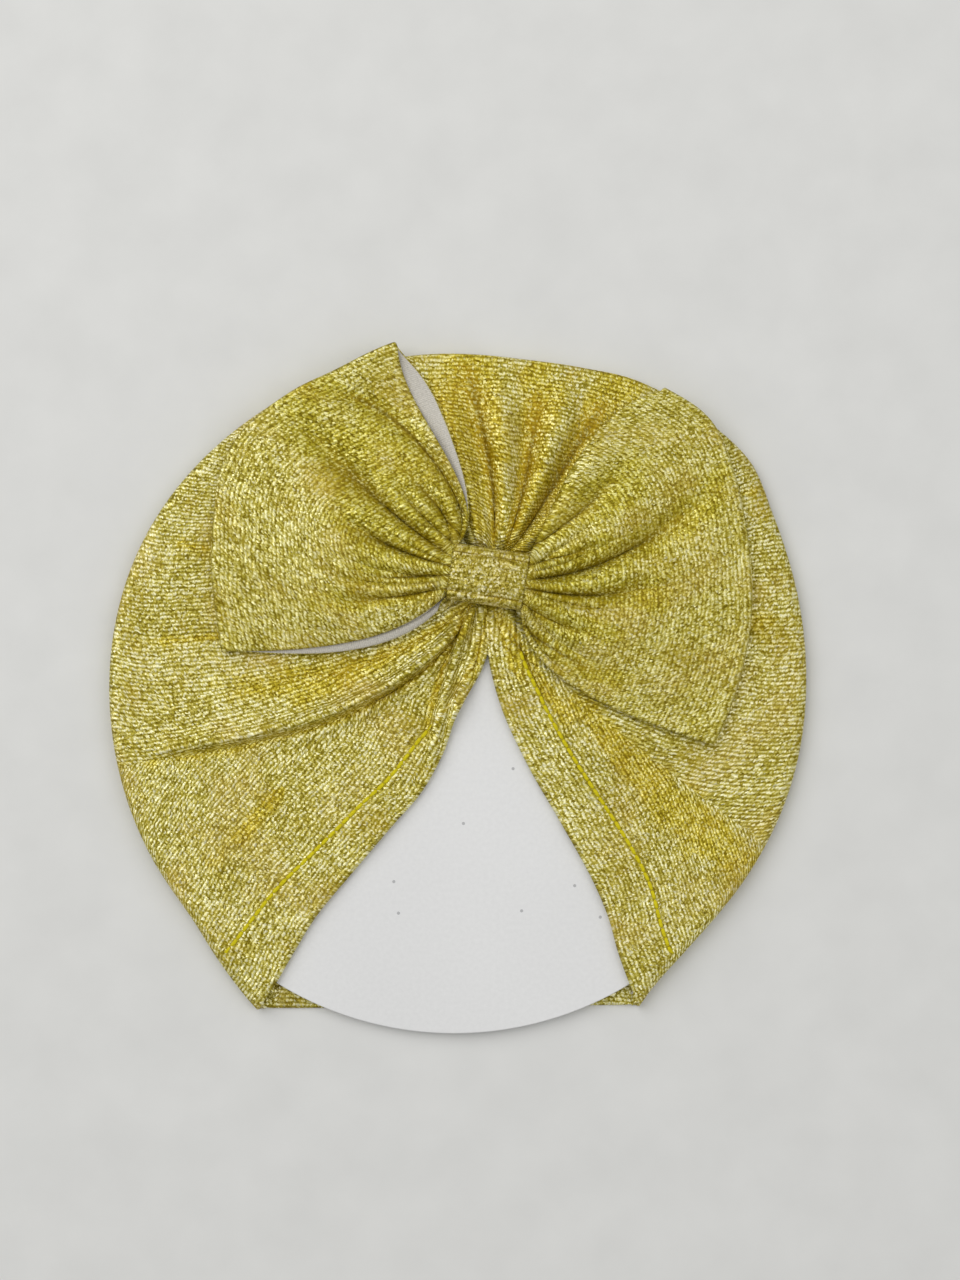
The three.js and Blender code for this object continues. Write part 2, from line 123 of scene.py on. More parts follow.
BOW_LOWER_STEPS = 36
BOW_FOLD_STEPS = 8
BOW_UPPER_STEPS = 88
BOW_ACROSS_STEPS = 168

# The knit: the pitch of its ribs, and the length of one stitch along a rib
RIB_PITCH = 1.1
STITCH_LENGTH = 0.8
CAP_RIBS = 424

# The outline of the cap about the middle of the card: the angle, and the radius as a share of the card's
OUTLINE = np.array([
    (-59.2, 1.073), (-56, 1.049), (-51, 1.029), (-43, 1.017), (-30, 1.022), (-15, 1.035), (5, 1.05),
    (20, 1.07), (30, 1.092), (38, 1.122), (46, 1.114), (60, 1.084), (69, 1.047), (80, 1.02), (100, 1.02),
    (125, 1.022), (155, 1.033), (185, 1.022), (207, 1.018), (220, 1.02), (229, 1.055), (237.9, 1.1),
])

# The ribs of the cap: the angle at the outline, the angle over the card's edge, and the heading at the pinch
RIBS = np.array([
    (-59.2, -58.2, -86), (-49, -49, -74), (-30, -30, -56), (0, 0, -25), (40, 40, 34), (92, 92, 88),
    (140, 140, 150), (175, 175, 205), (195, 195, 238), (228, 228, 256), (237.9, 237.8, 266),
])

# The two front hems: the share of the way down, and the share of the way across from the pinch to the corner
LEFT_HEM = np.array([
    (0, 0), (0.15, 0), (0.21, 0.035), (0.33, 0.155), (0.42, 0.215), (0.52, 0.32), (0.6, 0.45), (0.72, 0.64),
    (0.83, 0.81), (0.93, 0.925), (1, 1),
])
RIGHT_HEM = np.array([
    (0, 0), (0.15, 0), (0.3, 0.1), (0.45, 0.29), (0.6, 0.53), (0.73, 0.73), (0.83, 0.85), (0.92, 0.92),
    (1, 1),
])

# The turned hems as far as their stitching: the share of the way down, the left width and the right width
HEM_WIDTHS = np.array([
    (0, 2.2, 6), (0.19, 2.4, 8.2), (0.3, 2.8, 10), (0.36, 4.4, 10.4), (0.42, 7, 10.8), (0.56, 9.3, 11.5),
    (0.68, 10.4, 12.3), (0.83, 12.2, 13.2), (1, 14.8, 13),
])


def knot_lines(names, rows):
    """Lines seen from the knot: headings at the inner end, halfway and at the outer end, the distances of the
    two ends, and values under the names given."""
    return [dict(zip(("turn", "ends", *names), row)) for row in rows]


# A crest has a height, and its clockwise and anticlockwise flanks at the outer end
CAP_CRESTS = knot_lines(("height", "right", "left"), [
    ((101, 103, 103), (8, 54), 0.95, 7, 11.7),
    ((70, 84, 86), (8, 56), 1.25, 8, 9),
    ((57, 64, 65), (9, 59), 1.15, 8, 8),
    ((38, 47, 47), (10, 56), 0.7, 9, 7),
    ((246, 222, 205), (14.4, 98), 0.5, 23.4, 6.3),
    ((242, 218.3, 205.8), (12, 112), 0.95, 5, 2),
    ((262, 258, 256), (6, 50), 0.45, 2.6, 3),
    ((244, 249.5, 253), (8, 56), 0.75, 1.9, 2.8),
    ((-76, -63, -58), (12.6, 72), 0.45, 12.6, 18),
    ((-56, -46, -40), (27, 85), 0.35, 12.6, 12.6),
])

# Two long creases from which the ribs of the cap also start afresh
LONG_CREASE = ((246, 220.3, 207.2), (12, 112))
SHORT_CREASE = ((232, 214, 203), (9, 78))

# A crease has a depth, a half width at the inner and the outer end, and a share by which its painted shade
# tints the knit
CAP_CREASES = knot_lines(("depth", "width", "tint"), [
    ((79, 93, 97), (8, 80), 2.3, (0.9, 7.0), 1),
    ((59, 71, 74), (8, 64), 2.0, (0.8, 5.4), 1),
    ((49, 56, 53), (9, 80), 2.0, (0.8, 5.4), 1),
    ((106, 109, 108), (14, 44), 1.2, (0.6, 2.2), 0.7),
    (*LONG_CREASE, 2.4, (0.9, 1.2), 0.6),
    ((239, 244.3, 250), (7, 50), 2.2, (0.8, 1.1), 0.7),
    (*SHORT_CREASE, 1.1, (0.7, 3.2), 0.6),
    ((268, 263, 260), (6, 30), 0.7, (0.5, 0.9), 0.4),
    ((-70, -64, -60), (8, 46), 1.0, (0.6, 2.0), 0.5),
    ((-80, -74, -70), (6, 32), 0.8, (0.5, 1.2), 0.5),
    ((174, 174, 173.5), (69, 92), 1.0, (0.6, 0.8), 0.5),
    ((192.5, 191.3, 190), (70, 100), 1.1, (0.6, 0.9), 0.5),
    ((18, 18, 17.5), (66, 80), 1.3, (0.7, 0.9), 0.6),
])
LEFT_CREASES = knot_lines(("depth", "width", "tint"), [
    ((152, 144, 139), (8, 74), 4.0, (1.1, 4.8), 1),
    ((165, 163, 156), (8, 48), 3.6, (1.0, 3.8), 1),
    ((177, 181, 176), (8, 40), 3.0, (1.0, 3.0), 1),
    ((136, 137, 130), (9, 42), 2.4, (0.6, 2.2), 1),
    ((110, 124, 154), (13, 96), 3.0, (1.1, 3.0), 1),
    ((124, 127, 128), (10, 44), 1.2, (0.6, 3.0), 1),
    ((196, 192, 188), (9, 48), 1.1, (0.6, 2.6), 1),
])
RIGHT_CREASES = knot_lines(("depth", "width", "tint"), [
    ((-6, 11.5, 22), (8, 72), 4.2, (1.1, 5.0), 1),
    ((-19, -9, -1), (8, 52), 3.4, (1.0, 3.8), 1),
    ((15, 15, 18), (8, 36), 2.2, (0.7, 2.0), 1),
    ((-38, -34, -28), (9, 34), 2.0, (0.6, 2.2), 1),
    ((33, 35, 40), (10, 52), 1.4, (0.7, 3.6), 1),
    ((55, 50, 46), (10, 36), 1.2, (0.6, 2.4), 1),
    ((-58, -46, -38), (10, 48), 1.0, (0.6, 2.6), 1),
])

# Where painted warm reflection shows without a crease, and its half width at the inner and the outer end
CAP_PATCHES = knot_lines(("width",), [
    ((100, 101, 103), (14, 62), (1.6, 3.0)),
    ((41, 38, 40), (12, 48), (2.0, 3.6)),
    ((58, 60, 62), (44, 64), (1.0, 2.6)),
    ((-10, -9, -8), (64, 82), (2.0, 2.6)),
    ((222, 216, 212), (24, 66), (1.0, 2.4)),
    ((226, 226, 225), (80, 106), (1.4, 2.6)),
    ((-54, -51, -48), (40, 112), (2.0, 6.0)),
])
BOW_PATCHES = knot_lines(("width",), [
    ((143, 139, 137), (18, 66), (1.6, 6.4)),
    ((122, 124, 128), (14, 58), (1.2, 3.6)),
    ((40, 36, 34), (12, 54), (1.6, 5.4)),
    ((-6, -8, -10), (14, 50), (0.8, 2.4)),
    ((-30, -26, -24), (12, 44), (0.8, 2.4)),
    ((160, 154, 150), (12, 52), (0.8, 2.6)),
])

# The strip of the bow across its width: the heading and reach of its end fold, and the strip's own headings
# at the band and at the fold
LEFT_END = np.array([
    (0, 111.7, 0.92, 46, 93), (0.14, 125.8, 0.935, 110, 110), (0.28, 137, 0.985, 156, 122),
    (0.45, 153, 1.05, 171, 142), (0.65, 169, 1.02, 186, 166), (0.85, 186, 1.0, 204, 178),
    (1, 195.7, 1.006, 226, 180),
])
RIGHT_END = np.array([
    (0, 46.8, 0.97, 66, 12), (0.15, 35, 1.02, 40, 26), (0.3, 23, 1.002, 8, 32), (0.46, 10, 0.985, -8, 18),
    (0.65, -6, 0.995, -22, 0), (0.83, -23, 1.02, -42, -14), (1, -36.9, 1.055, -94, -19),
])
LOOP_SPREAD = np.array([(0, 0.82), (0.04, 1.0), (0.1, 1.04), (0.28, 1), (0.5, 0.84), (0.75, 0.56), (1, 0.42)])
LEFT_SHOWS = (5.2, 2.5)
RIGHT_SHOWS = (0.0, 0.0)


def lerp(a, b, t):
    return a + (b - a) * t


def smoothstep(x, low, high):
    t = np.clip((x - low) / (high - low), 0, 1)
    return t * t * (3 - 2 * t)


def squared(value, squareness):
    """A sine or cosine bent from an ellipse towards a rectangle."""
    return np.sign(value) * np.abs(value) ** (2 / squareness)


def length(vectors):
    return np.linalg.norm(vectors, axis=-1, keepdims=True)


def unit(vectors):
    return vectors / np.maximum(length(vectors), 1e-12)


def walked(points, axis):
    """Distance walked along one axis of a grid of points."""
    steps = np.linalg.norm(np.diff(points, axis=axis), axis=-1)
    return np.concatenate([np.zeros_like(steps.take([0], axis)), np.cumsum(steps, axis)], axis)


def direction(degrees):
    radians = np.radians(degrees)
    return np.stack([np.cos(radians), np.sin(radians)], -1)


def cubic(start, leaves, end, arrives, t):
    """A curve between two values that leaves and arrives at given rates."""
    rest = 1 - t
    through = start * rest * rest * (1 + 2 * t) + end * t * t * (1 + 2 * rest)
    return through + leaves * t * rest * rest - arrives * t * t * rest


def column(rows, value):
    """A smooth curve through one column of a table, against the first one."""
    at, to = rows[:, 0], rows[:, value]
    before = np.concatenate([[2 * at[0] - at[1]], at[:-1]])
    after = np.concatenate([at[1:], [2 * at[-1] - at[-2]]])
    to_before = np.concatenate([[2 * to[0] - to[1]], to[:-1]])
    to_after = np.concatenate([to[1:], [2 * to[-1] - to[-2]]])
    slopes = (to_after - to_before) / (after - before)

    def curve(x):
        x = np.clip(np.asarray(x, float), at[0], at[-1])
        i = np.clip(np.searchsorted(at, x, "right") - 1, 0, len(at) - 2)
        span = at[i + 1] - at[i]
        return cubic(to[i], span * slopes[i], to[i + 1], span * slopes[i + 1], (x - at[i]) / span)

    return curve


def sweep(start, leaves, end, arrives, way):
    """A flat curve between two points that leaves and arrives along given directions."""
    pull = length(end - start)
    return cubic(start, leaves * pull, end, arrives * pull, np.asarray(way)[..., None])


def polar(place):
    """Distance and heading of a place, seen from the knot."""
    away = place - KNOT
    return np.linalg.norm(away, axis=-1), np.degrees(np.arctan2(away[..., 1], away[..., 0]))


def heading_along(line, way):
    """The heading of a line seen from the knot, at a share of the way between its ends."""
    inner, middle, outer = line["turn"]
    return inner * (1 - way) * (1 - 2 * way) + middle * 4 * way * (1 - way) + outer * way * (2 * way - 1)


def beside(line, place):
    """How far along a line a place lies as a share, how far to its anticlockwise side, and how far out."""
    distance, heading = polar(place)
    inner, outer = line["ends"]
    way = np.clip((distance - inner) / (outer - inner), 0, 1)
    off = np.radians((heading - heading_along(line, way) + 180) % 360 - 180) * distance
    return way, off, distance


def crest_height(line, place):
    way, off, distance = beside(line, place)
    inner, outer = line["ends"]
    flank = np.where(off > 0, line["left"], line["right"]) * lerp(0.35, 1, way)
    rise = line["height"] * GATHER_HEIGHT * np.exp(-2 * (off / flank) ** 2)
    fades = 1 - smoothstep(distance, 0.7 * outer, outer)
    return rise * smoothstep(distance, 0.8 * inner, 1.5 * inner) * fades


def valley_share(line, place):
    """1 along the bottom of a crease and 0 away from it, and the share of the way along it. A crease is sharp
    near the knot, and soft and shallower further out."""
    way, off, distance = beside(line, place)
    inner, outer = line["ends"]
    near, far = line["width"]
    share = np.exp(-(np.abs(off) / lerp(near, far, way)) ** lerp(0.85, 1.7, way))
    starts = smoothstep(distance, inner - 2, lerp(inner, outer, 0.08))
    fades = lerp(1, 0.82, way) * (1 - smoothstep(distance, lerp(inner, outer, 0.55), outer))
    return share * starts * fades, way


def valleys(lines, place):
    """Depth of the deepest crease at a place, and the strongest painted shade of any crease there."""
    found = [(line, *valley_share(line, place)) for line in lines]
    depths = [share * line["depth"] for line, share, _ in found]
    tints = [share * line["tint"] * lerp(1, 0.66, way) for line, share, way in found]
    return np.max(depths, axis=0), np.max(tints, axis=0)


def warm_reflection_share(lines, place):
    """How much amber is painted at a place as warm light reflected in the folds: most along the lines."""
    shares = []
    for line in lines:
        way, off, distance = beside(line, place)
        inner, outer = line["ends"]
        near, far = line["width"]
        wide = lerp(near + 0.15, 1.4 * far, way)
        fades = smoothstep(distance, inner - 4, inner) * (1 - smoothstep(distance, 0.7 * outer, 1.1 * outer))
        shares.append(np.exp(-((off / wide) ** 2)) * fades)
    return np.max(shares, axis=0)


band_way = direction(math.degrees(BAND_TILT))
band_side = direction(math.degrees(BAND_TILT) + 90)


def under_band(place):
    """1 where the band lies over a place, and 0 from a little way beside it."""
    away = place - KNOT
    reach = 2 * np.maximum(np.abs(away @ band_way) / BAND_LENGTH, np.abs(away @ band_side) / BAND_WIDTH)
    return 1 - smoothstep(reach, 0.9, 1.12)


# The cap
outline_share = column(OUTLINE, 1)
rib_over = column(RIBS, 1)
rib_leaves = column(RIBS, 2)
RIGHT_CORNER, LEFT_CORNER = OUTLINE[0, 0], OUTLINE[-1, 0]


def ray_degrees(u):
    """The heading of a ray from the card's middle, at a share of the way round from the left hem."""
    return lerp(LEFT_CORNER, RIGHT_CORNER, u)


def fold_point(u):
    degrees = ray_degrees(u)
    return direction(degrees) * (CARD_RADIUS * outline_share(degrees) - RIM_INSET)[..., None]


def shoulder_point(u):
    return direction(rib_over(ray_degrees(u))) * (CARD_RADIUS - GAP)


def pinch_point(u):
    return KNOT + direction(rib_leaves(ray_degrees(u))) * np.array([PINCH_LENGTH, PINCH_WIDTH]) / 2


def hem_curve(rows, end_u, hand):
    """The edge of the left hem (hand -1) or the right one (hand 1), from the knot to its corner."""
    across = column(rows, 1)
    top = pinch_point(np.array(end_u))[1]
    corner = shoulder_point(np.array(end_u))
    start = KNOT[0] + hand * SLIT / 2
    return lambda along: np.stack([lerp(start, corner[0], across(along)), lerp(top, corner[1], along)], -1)


left_hem = hem_curve(LEFT_HEM, 0.0, -1)
right_hem = hem_curve(RIGHT_HEM, 1.0, 1)


def free_rib(u, along):
    leaves = direction(rib_leaves(ray_degrees(u)))
    return sweep(pinch_point(u), leaves, shoulder_point(u), direction(ray_degrees(u)), along)


def rib_point(u, along):
    """A rib of the front, drawn towards the hem that it runs beside."""
    left_pull = (1 - smoothstep(u, 0, HEM_PULL))[..., None]
    right_pull = (1 - smoothstep(1 - u, 0, HEM_PULL))[..., None]
    left = left_hem(along) - free_rib(np.zeros_like(u), along)
    right = right_hem(along) - free_rib(np.ones_like(u), along)
    return free_rib(u, along) + left * left_pull + right * right_pull


def gathers(place):
    """The height of the folds over the flat of the card, without their creases."""
    edge = 1 - smoothstep(np.linalg.norm(place, axis=-1) / CARD_RADIUS, 0.88, 0.99)
    return sum(crest_height(line, place) for line in CAP_CRESTS) * edge


def front_top(place):
    return FRONT_TOP + gathers(place)


def cap_valleys(place):
    edge = 1 - smoothstep(np.linalg.norm(place, axis=-1) / CARD_RADIUS, 0.97, 1.03)
    depth, share = valleys(CAP_CREASES, place)
    return depth * edge, share * edge


def small_pleats(place):
    """Fine pleats that run out from the pinch and die away."""
    distance, heading = polar(place)
    height = np.exp(-(((distance - 8) / 17) ** 2)) * smoothstep(distance, 4, 8)
    turn = np.radians(heading)
    wave = np.abs(np.sin(10 * turn + 1.2 * np.sin(3 * turn) + 0.8 * np.sin(7 * turn))) ** 0.7
    return height * (wave - 0.4)


def ease(place, seed, size):
    """Slow unevenness of cloth that lies loosely, from a few crossed waves."""
    total = 0
    waves = np.random.default_rng(seed)
    for _ in range(7):
        heading = waves.uniform(0, 2 * np.pi)
        wavelength = size * waves.uniform(0.6, 1.6)
        shift = waves.uniform(0, 2 * np.pi)
        along = place[..., 0] * np.cos(heading) + place[..., 1] * np.sin(heading)
        total = total + np.sin(2 * np.pi * along / wavelength + shift)
    return total / 7


hem_widths = [column(HEM_WIDTHS, 1), column(HEM_WIDTHS, 2)]


def front_heights(place, along, from_hems):
    """The height of the cloth's outer face on the front of the cap, how much painted shade it takes in a
    crease and in the groove of a hem's seam, and how much it lies on a hem. from_hems are the distances from
    the edges of the left and the right hem."""
    cut, share = cap_valleys(place)
    middle = smoothstep(along, 0.1, 0.4) * (1 - smoothstep(along, 0.85, 1))
    loose = (0.3 * ease(place, 3, 30) + 0.12 * ease(place, 4, 11)) * middle
    pleats = small_pleats(place) * np.minimum(1, np.minimum(*from_hems) / 3)
    folds = np.maximum(gathers(place) + pleats + loose + 0.3 - cut, 0)
    pressed = under_band(place)
    folds = lerp(folds, np.minimum(folds, PRESSED_FOLDS), pressed)
    beyond = [distance - width(along) for distance, width in zip(from_hems, hem_widths)]
    hem = sum(1 - smoothstep(distance, 0, 0.8) for distance in beyond)
    seams = sum(np.exp(-((distance / SEAM_WIDTH) ** 2)) for distance in beyond)
    sewn = SEAM_DEPTH * seams * smoothstep(along, 0.08, 0.2)
    height = FRONT_TOP + folds + hem * (HEM_THICKNESS - CLOTH) * (1 - pressed) - sewn
    # the groove of a seam takes painted shade like a crease
    return height, np.clip(share + 1.3 * sewn, 0, 1), hem


def round_rim(inside, fold, turn):
    """Place and height of the middle of the cloth on the rim, from the front (turn 0) to the back (pi)."""
    place = lerp(inside, fold, squared(math.sin(turn), RIM_SQUARENESS))
    rise = squared(math.cos(turn), RIM_SQUARENESS) * (FRONT_MIDDLE - BACK_MIDDLE)
    return place, (FRONT_MIDDLE + BACK_MIDDLE + rise) / 2


def cap_grid(u, fronts, turns, backs):
    """The middle surface of the cap, from the pinch over the front, round the rim and under the back."""
    fold = fold_point(u)
    shoulder = shoulder_point(u)
    corners = fold_point(np.array([0.0, 1.0]))
    back_rim = lerp(corners[0], corners[1], lerp(BACK_INSET, 1 - BACK_INSET, u)[..., None])
    to_rim = back_rim - fold
    under = fold + unit(to_rim) * np.minimum(length(shoulder - fold), length(to_rim) * BACK_TUCK)
    lines, creases, hems = [], [], []
    for along in fronts:
        place = rib_point(u, np.full_like(u, along))
        from_left = walked(place, 0)
        top, share, hem = front_heights(place, along, (from_left, from_left[-1] - from_left))
        thickness = CLOTH + hem * (HEM_THICKNESS - CLOTH)
        lines.append(np.concatenate([place, (top - thickness / 2)[:, None]], 1))
        creases.append(share)
        hems.append(hem)
    shoulder_rise = lines[-1][:, 2] - FRONT_MIDDLE
    for turn in turns:
        place, middle = round_rim(shoulder if turn < math.pi / 2 else under, fold, turn)
        height = middle + shoulder_rise * max(math.cos(turn), 0)
        lines.append(np.concatenate([place, height[:, None]], 1))
    for way in backs:
        place = lerp(under, back_rim, way)
        lines.append(np.concatenate([place, np.full_like(u, BACK_MIDDLE)[:, None]], 1))
    flat = [np.zeros_like(u)] * (len(turns) + len(backs))
    return np.array(lines), np.array(creases + flat), np.array(hems + flat)


# The bow
def waist_arch(across):
    """How far the strip lies above and below the middle of the band, inside it."""
    arch = (1 - np.abs(2 * across - 1) ** BAND_SQUARENESS) ** (1 / BAND_SQUARENESS)
    return np.maximum(WAIST_HEIGHT / 2 * arch, (CLOTH + GAP) / 2)


class Loop:
    """One loop of the bow, left (hand -1) or right (hand 1) of the band. out is the share of the way from the
    band to the end fold, and across is the share of the strip's width, from its crown edge."""

    def __init__(self, rows, reach, creases, shows, hand):
        self.heading, self.share, self.leaves, self.arrives = (column(rows, i) for i in (1, 2, 3, 4))
        self.spread_share = column(LOOP_SPREAD, 1)
        self.reach, self.creases, self.shows, self.hand = reach, creases, shows, hand

    def place(self, out, across):
        reach = self.share(across) * self.reach - END_INSET
        end = KNOT + direction(self.heading(across)) * reach[..., None]
        beside_knot = np.outer((0.5 - across) * WAIST_WIDTH, band_side)
        start = KNOT + band_way * self.hand * WAIST_LENGTH / 2 + beside_knot
        leaves = direction(self.leaves(across))
        return sweep(start, leaves, end, direction(self.arrives(across)), np.full_like(across, out))

    def lower_place(self, out, across):
        """The lower layer's place, which shows past the upper one at the edges of the left loop."""
        at = self.place(out, across)
        way = self.place(min(out + 0.01, 1), across) - at
        sideways = unit(np.stack([-way[:, 1], way[:, 0]], -1))
        upper, lower = self.shows
        above = upper * (1 - across) ** 4 * math.sin(math.pi * out ** 2.3)
        below = lower * across ** 4 * math.sin(math.pi * out ** 0.6)
        past = self.hand * (above - below)
        return at + sideways * past[:, None]

    def base_height(self, out, across):
        rests = BOW_REST_GAP + lerp(0.6, 0.25, smoothstep(out, 0.4, 0.9))
        landed = front_top(self.lower_place(out, across)) + rests + CLOTH / 2
        return lerp(BAND_MIDDLE - waist_arch(across), landed, smoothstep(out, 0, LOOP_LANDS))

    def pleats(self, across, count):
        """Rounded pleats side by side, 0 in the valleys and 1 on the crests."""
        uneven = 0.35 * np.sin(2 * np.pi * 3 * across + self.hand)
        return np.abs(np.sin(np.pi * (count * across + uneven))) ** 0.75

    def cut(self, out, across):
        depth, share = valleys(self.creases, self.place(out, across))
        fade = 1 - smoothstep(out, FOLD_STARTS, 1)
        return depth * fade, share * fade

    def spread(self, out, across):
        """The height of the upper layer over the lower one."""
        opened = smoothstep(out, 0, WAIST_OPENS)
        side_puff = lerp(SIDE_PUFF, 1, np.sin(np.pi * across) ** 0.6)
        least = lerp(1.35, END_FOLD, np.sin(np.pi * across) ** 0.4)
        free = np.maximum(self.spread_share(out) * BOW_PUFF * lerp(1, side_puff, opened), least)
        window = smoothstep(out, 0.015, 0.06) * (1 - smoothstep(out, 0.12, 0.55))
        pleats = UPPER_PLEAT_HEIGHT * (self.pleats(across, UPPER_PLEATS) - 0.55) * window
        place = self.place(out, across)
        waves = 0.45 * ease(place, 11 + self.hand, 30) + 0.15 * ease(place, 21, 10)
        free = free + pleats + waves * smoothstep(out, 0.15, 0.6) - self.cut(out, across)[0]
        folded = lerp(2 * waist_arch(across), np.maximum(free, CLOTH + GAP), opened)
        return lerp(folded, END_FOLD, smoothstep(out, FOLD_STARTS, 1))

    def lower(self, out, across):
        window = smoothstep(out, 0.04, 0.12) * (1 - smoothstep(out, 0.2, 0.8))
        room = LOWER_PLEAT_ROOM * np.maximum(self.spread(out, across) - CLOTH - GAP, 0)
        pleats = LOWER_PLEAT_HEIGHT * self.pleats(across, LOWER_PLEATS) * window
        height = self.base_height(out, across) + np.minimum(pleats, room)
        return np.concatenate([self.lower_place(out, across), height[:, None]], 1)

    def upper(self, out, across):
        height = self.base_height(out, across) + self.spread(out, across)
        return np.concatenate([self.place(out, across), height[:, None]], 1)

    def fold(self, turn, across):
        at = self.place(1, across) + direction(self.heading(across)) * END_FOLD / 2 * math.sin(turn)
        height = self.base_height(1, across) + END_FOLD / 2 * (1 - math.cos(turn))
        return np.concatenate([at, height[:, None]], 1)

    def lines(self, across):
        """Lines across the strip, from the band out along the lower layer and back, and the painted shade of
        their creases.
        """
        found = []
        flat = np.zeros_like(across)
        for out in np.linspace(0, 1, BOW_LOWER_STEPS + 1):
            found.append((self.lower(out, across), flat))
        for turn in np.linspace(0, math.pi, BOW_FOLD_STEPS + 1)[1:-1]:
            found.append((self.fold(turn, across), flat))
        for out in np.linspace(1, 0, BOW_UPPER_STEPS + 1) ** 1.15:
            found.append((self.upper(out, across), self.cut(out, across)[1]))
        return found


def bow_grid(across):
    left = Loop(LEFT_END, LEFT_REACH, LEFT_CREASES, LEFT_SHOWS, -1)
    right = Loop(RIGHT_END, RIGHT_REACH, RIGHT_CREASES, RIGHT_SHOWS, 1)
    lines = left.lines(across) + right.lines(across)[::-1]
    return np.array([points for points, _ in lines]), np.array([share for _, share in lines])


def band_grid(turns, along):
    """The tube of the band, a little slack: its edges are rolled into lips, and its ends dip into the bow."""
    side = squared(np.cos(turns), BAND_SQUARENESS) * (BAND_WIDTH - CLOTH) / 2
    rise = squared(np.sin(turns), BAND_SQUARENESS) * (BAND_HEIGHT - CLOTH) / 2
    top = np.maximum(np.sin(turns), 0)[:, None]
    slack = (0.14 * np.sin(side * 1.9 + 0.6)[:, None] + 0.16 * np.sin(side[:, None] * 0.8 + along * 5)) * top
    rolled = np.exp(-(((np.abs(side) - LIP_GROOVE_AT) / LIP_GROOVE_WIDTH) ** 2))[:, None]
    groove = rolled * top ** 0.3 * (0.8 + 0.2 * np.cos(along * 9))
    ends = np.abs(2 * along - 1) ** 7
    at = KNOT + (np.outer(along - 0.5, band_way) * BAND_LENGTH)[None] + np.outer(side, band_side)[:, None]
    dips = slack * (1 - ends) - 0.5 * ends * top
    height = BAND_MIDDLE + rise[:, None] - LIP_GROOVE_DEPTH * groove + dips
    return np.concatenate([at, height[..., None]], 2), groove * np.ones_like(ends)


# Meshes
def add_piece(name, vertices, faces, materials):
    """A new smooth mesh in the scene, from corners in millimetres."""
    mesh = bpy.data.meshes.new(name)
    mesh.from_pydata(np.array(vertices) * MM, [], faces)
    for material in materials:
        mesh.materials.append(material)
    mesh.polygons.foreach_set("use_smooth", np.ones(len(faces), bool))
    piece = bpy.data.objects.new(name, mesh)
    bpy.context.scene.collection.objects.link(piece)
    return piece


def grid_normals(grid, ring):
    if ring:
        along = np.roll(grid, -1, 0) - np.roll(grid, 1, 0)
    else:
        along = np.gradient(grid, axis=0)
    return unit(np.cross(along, np.gradient(grid, axis=1)))


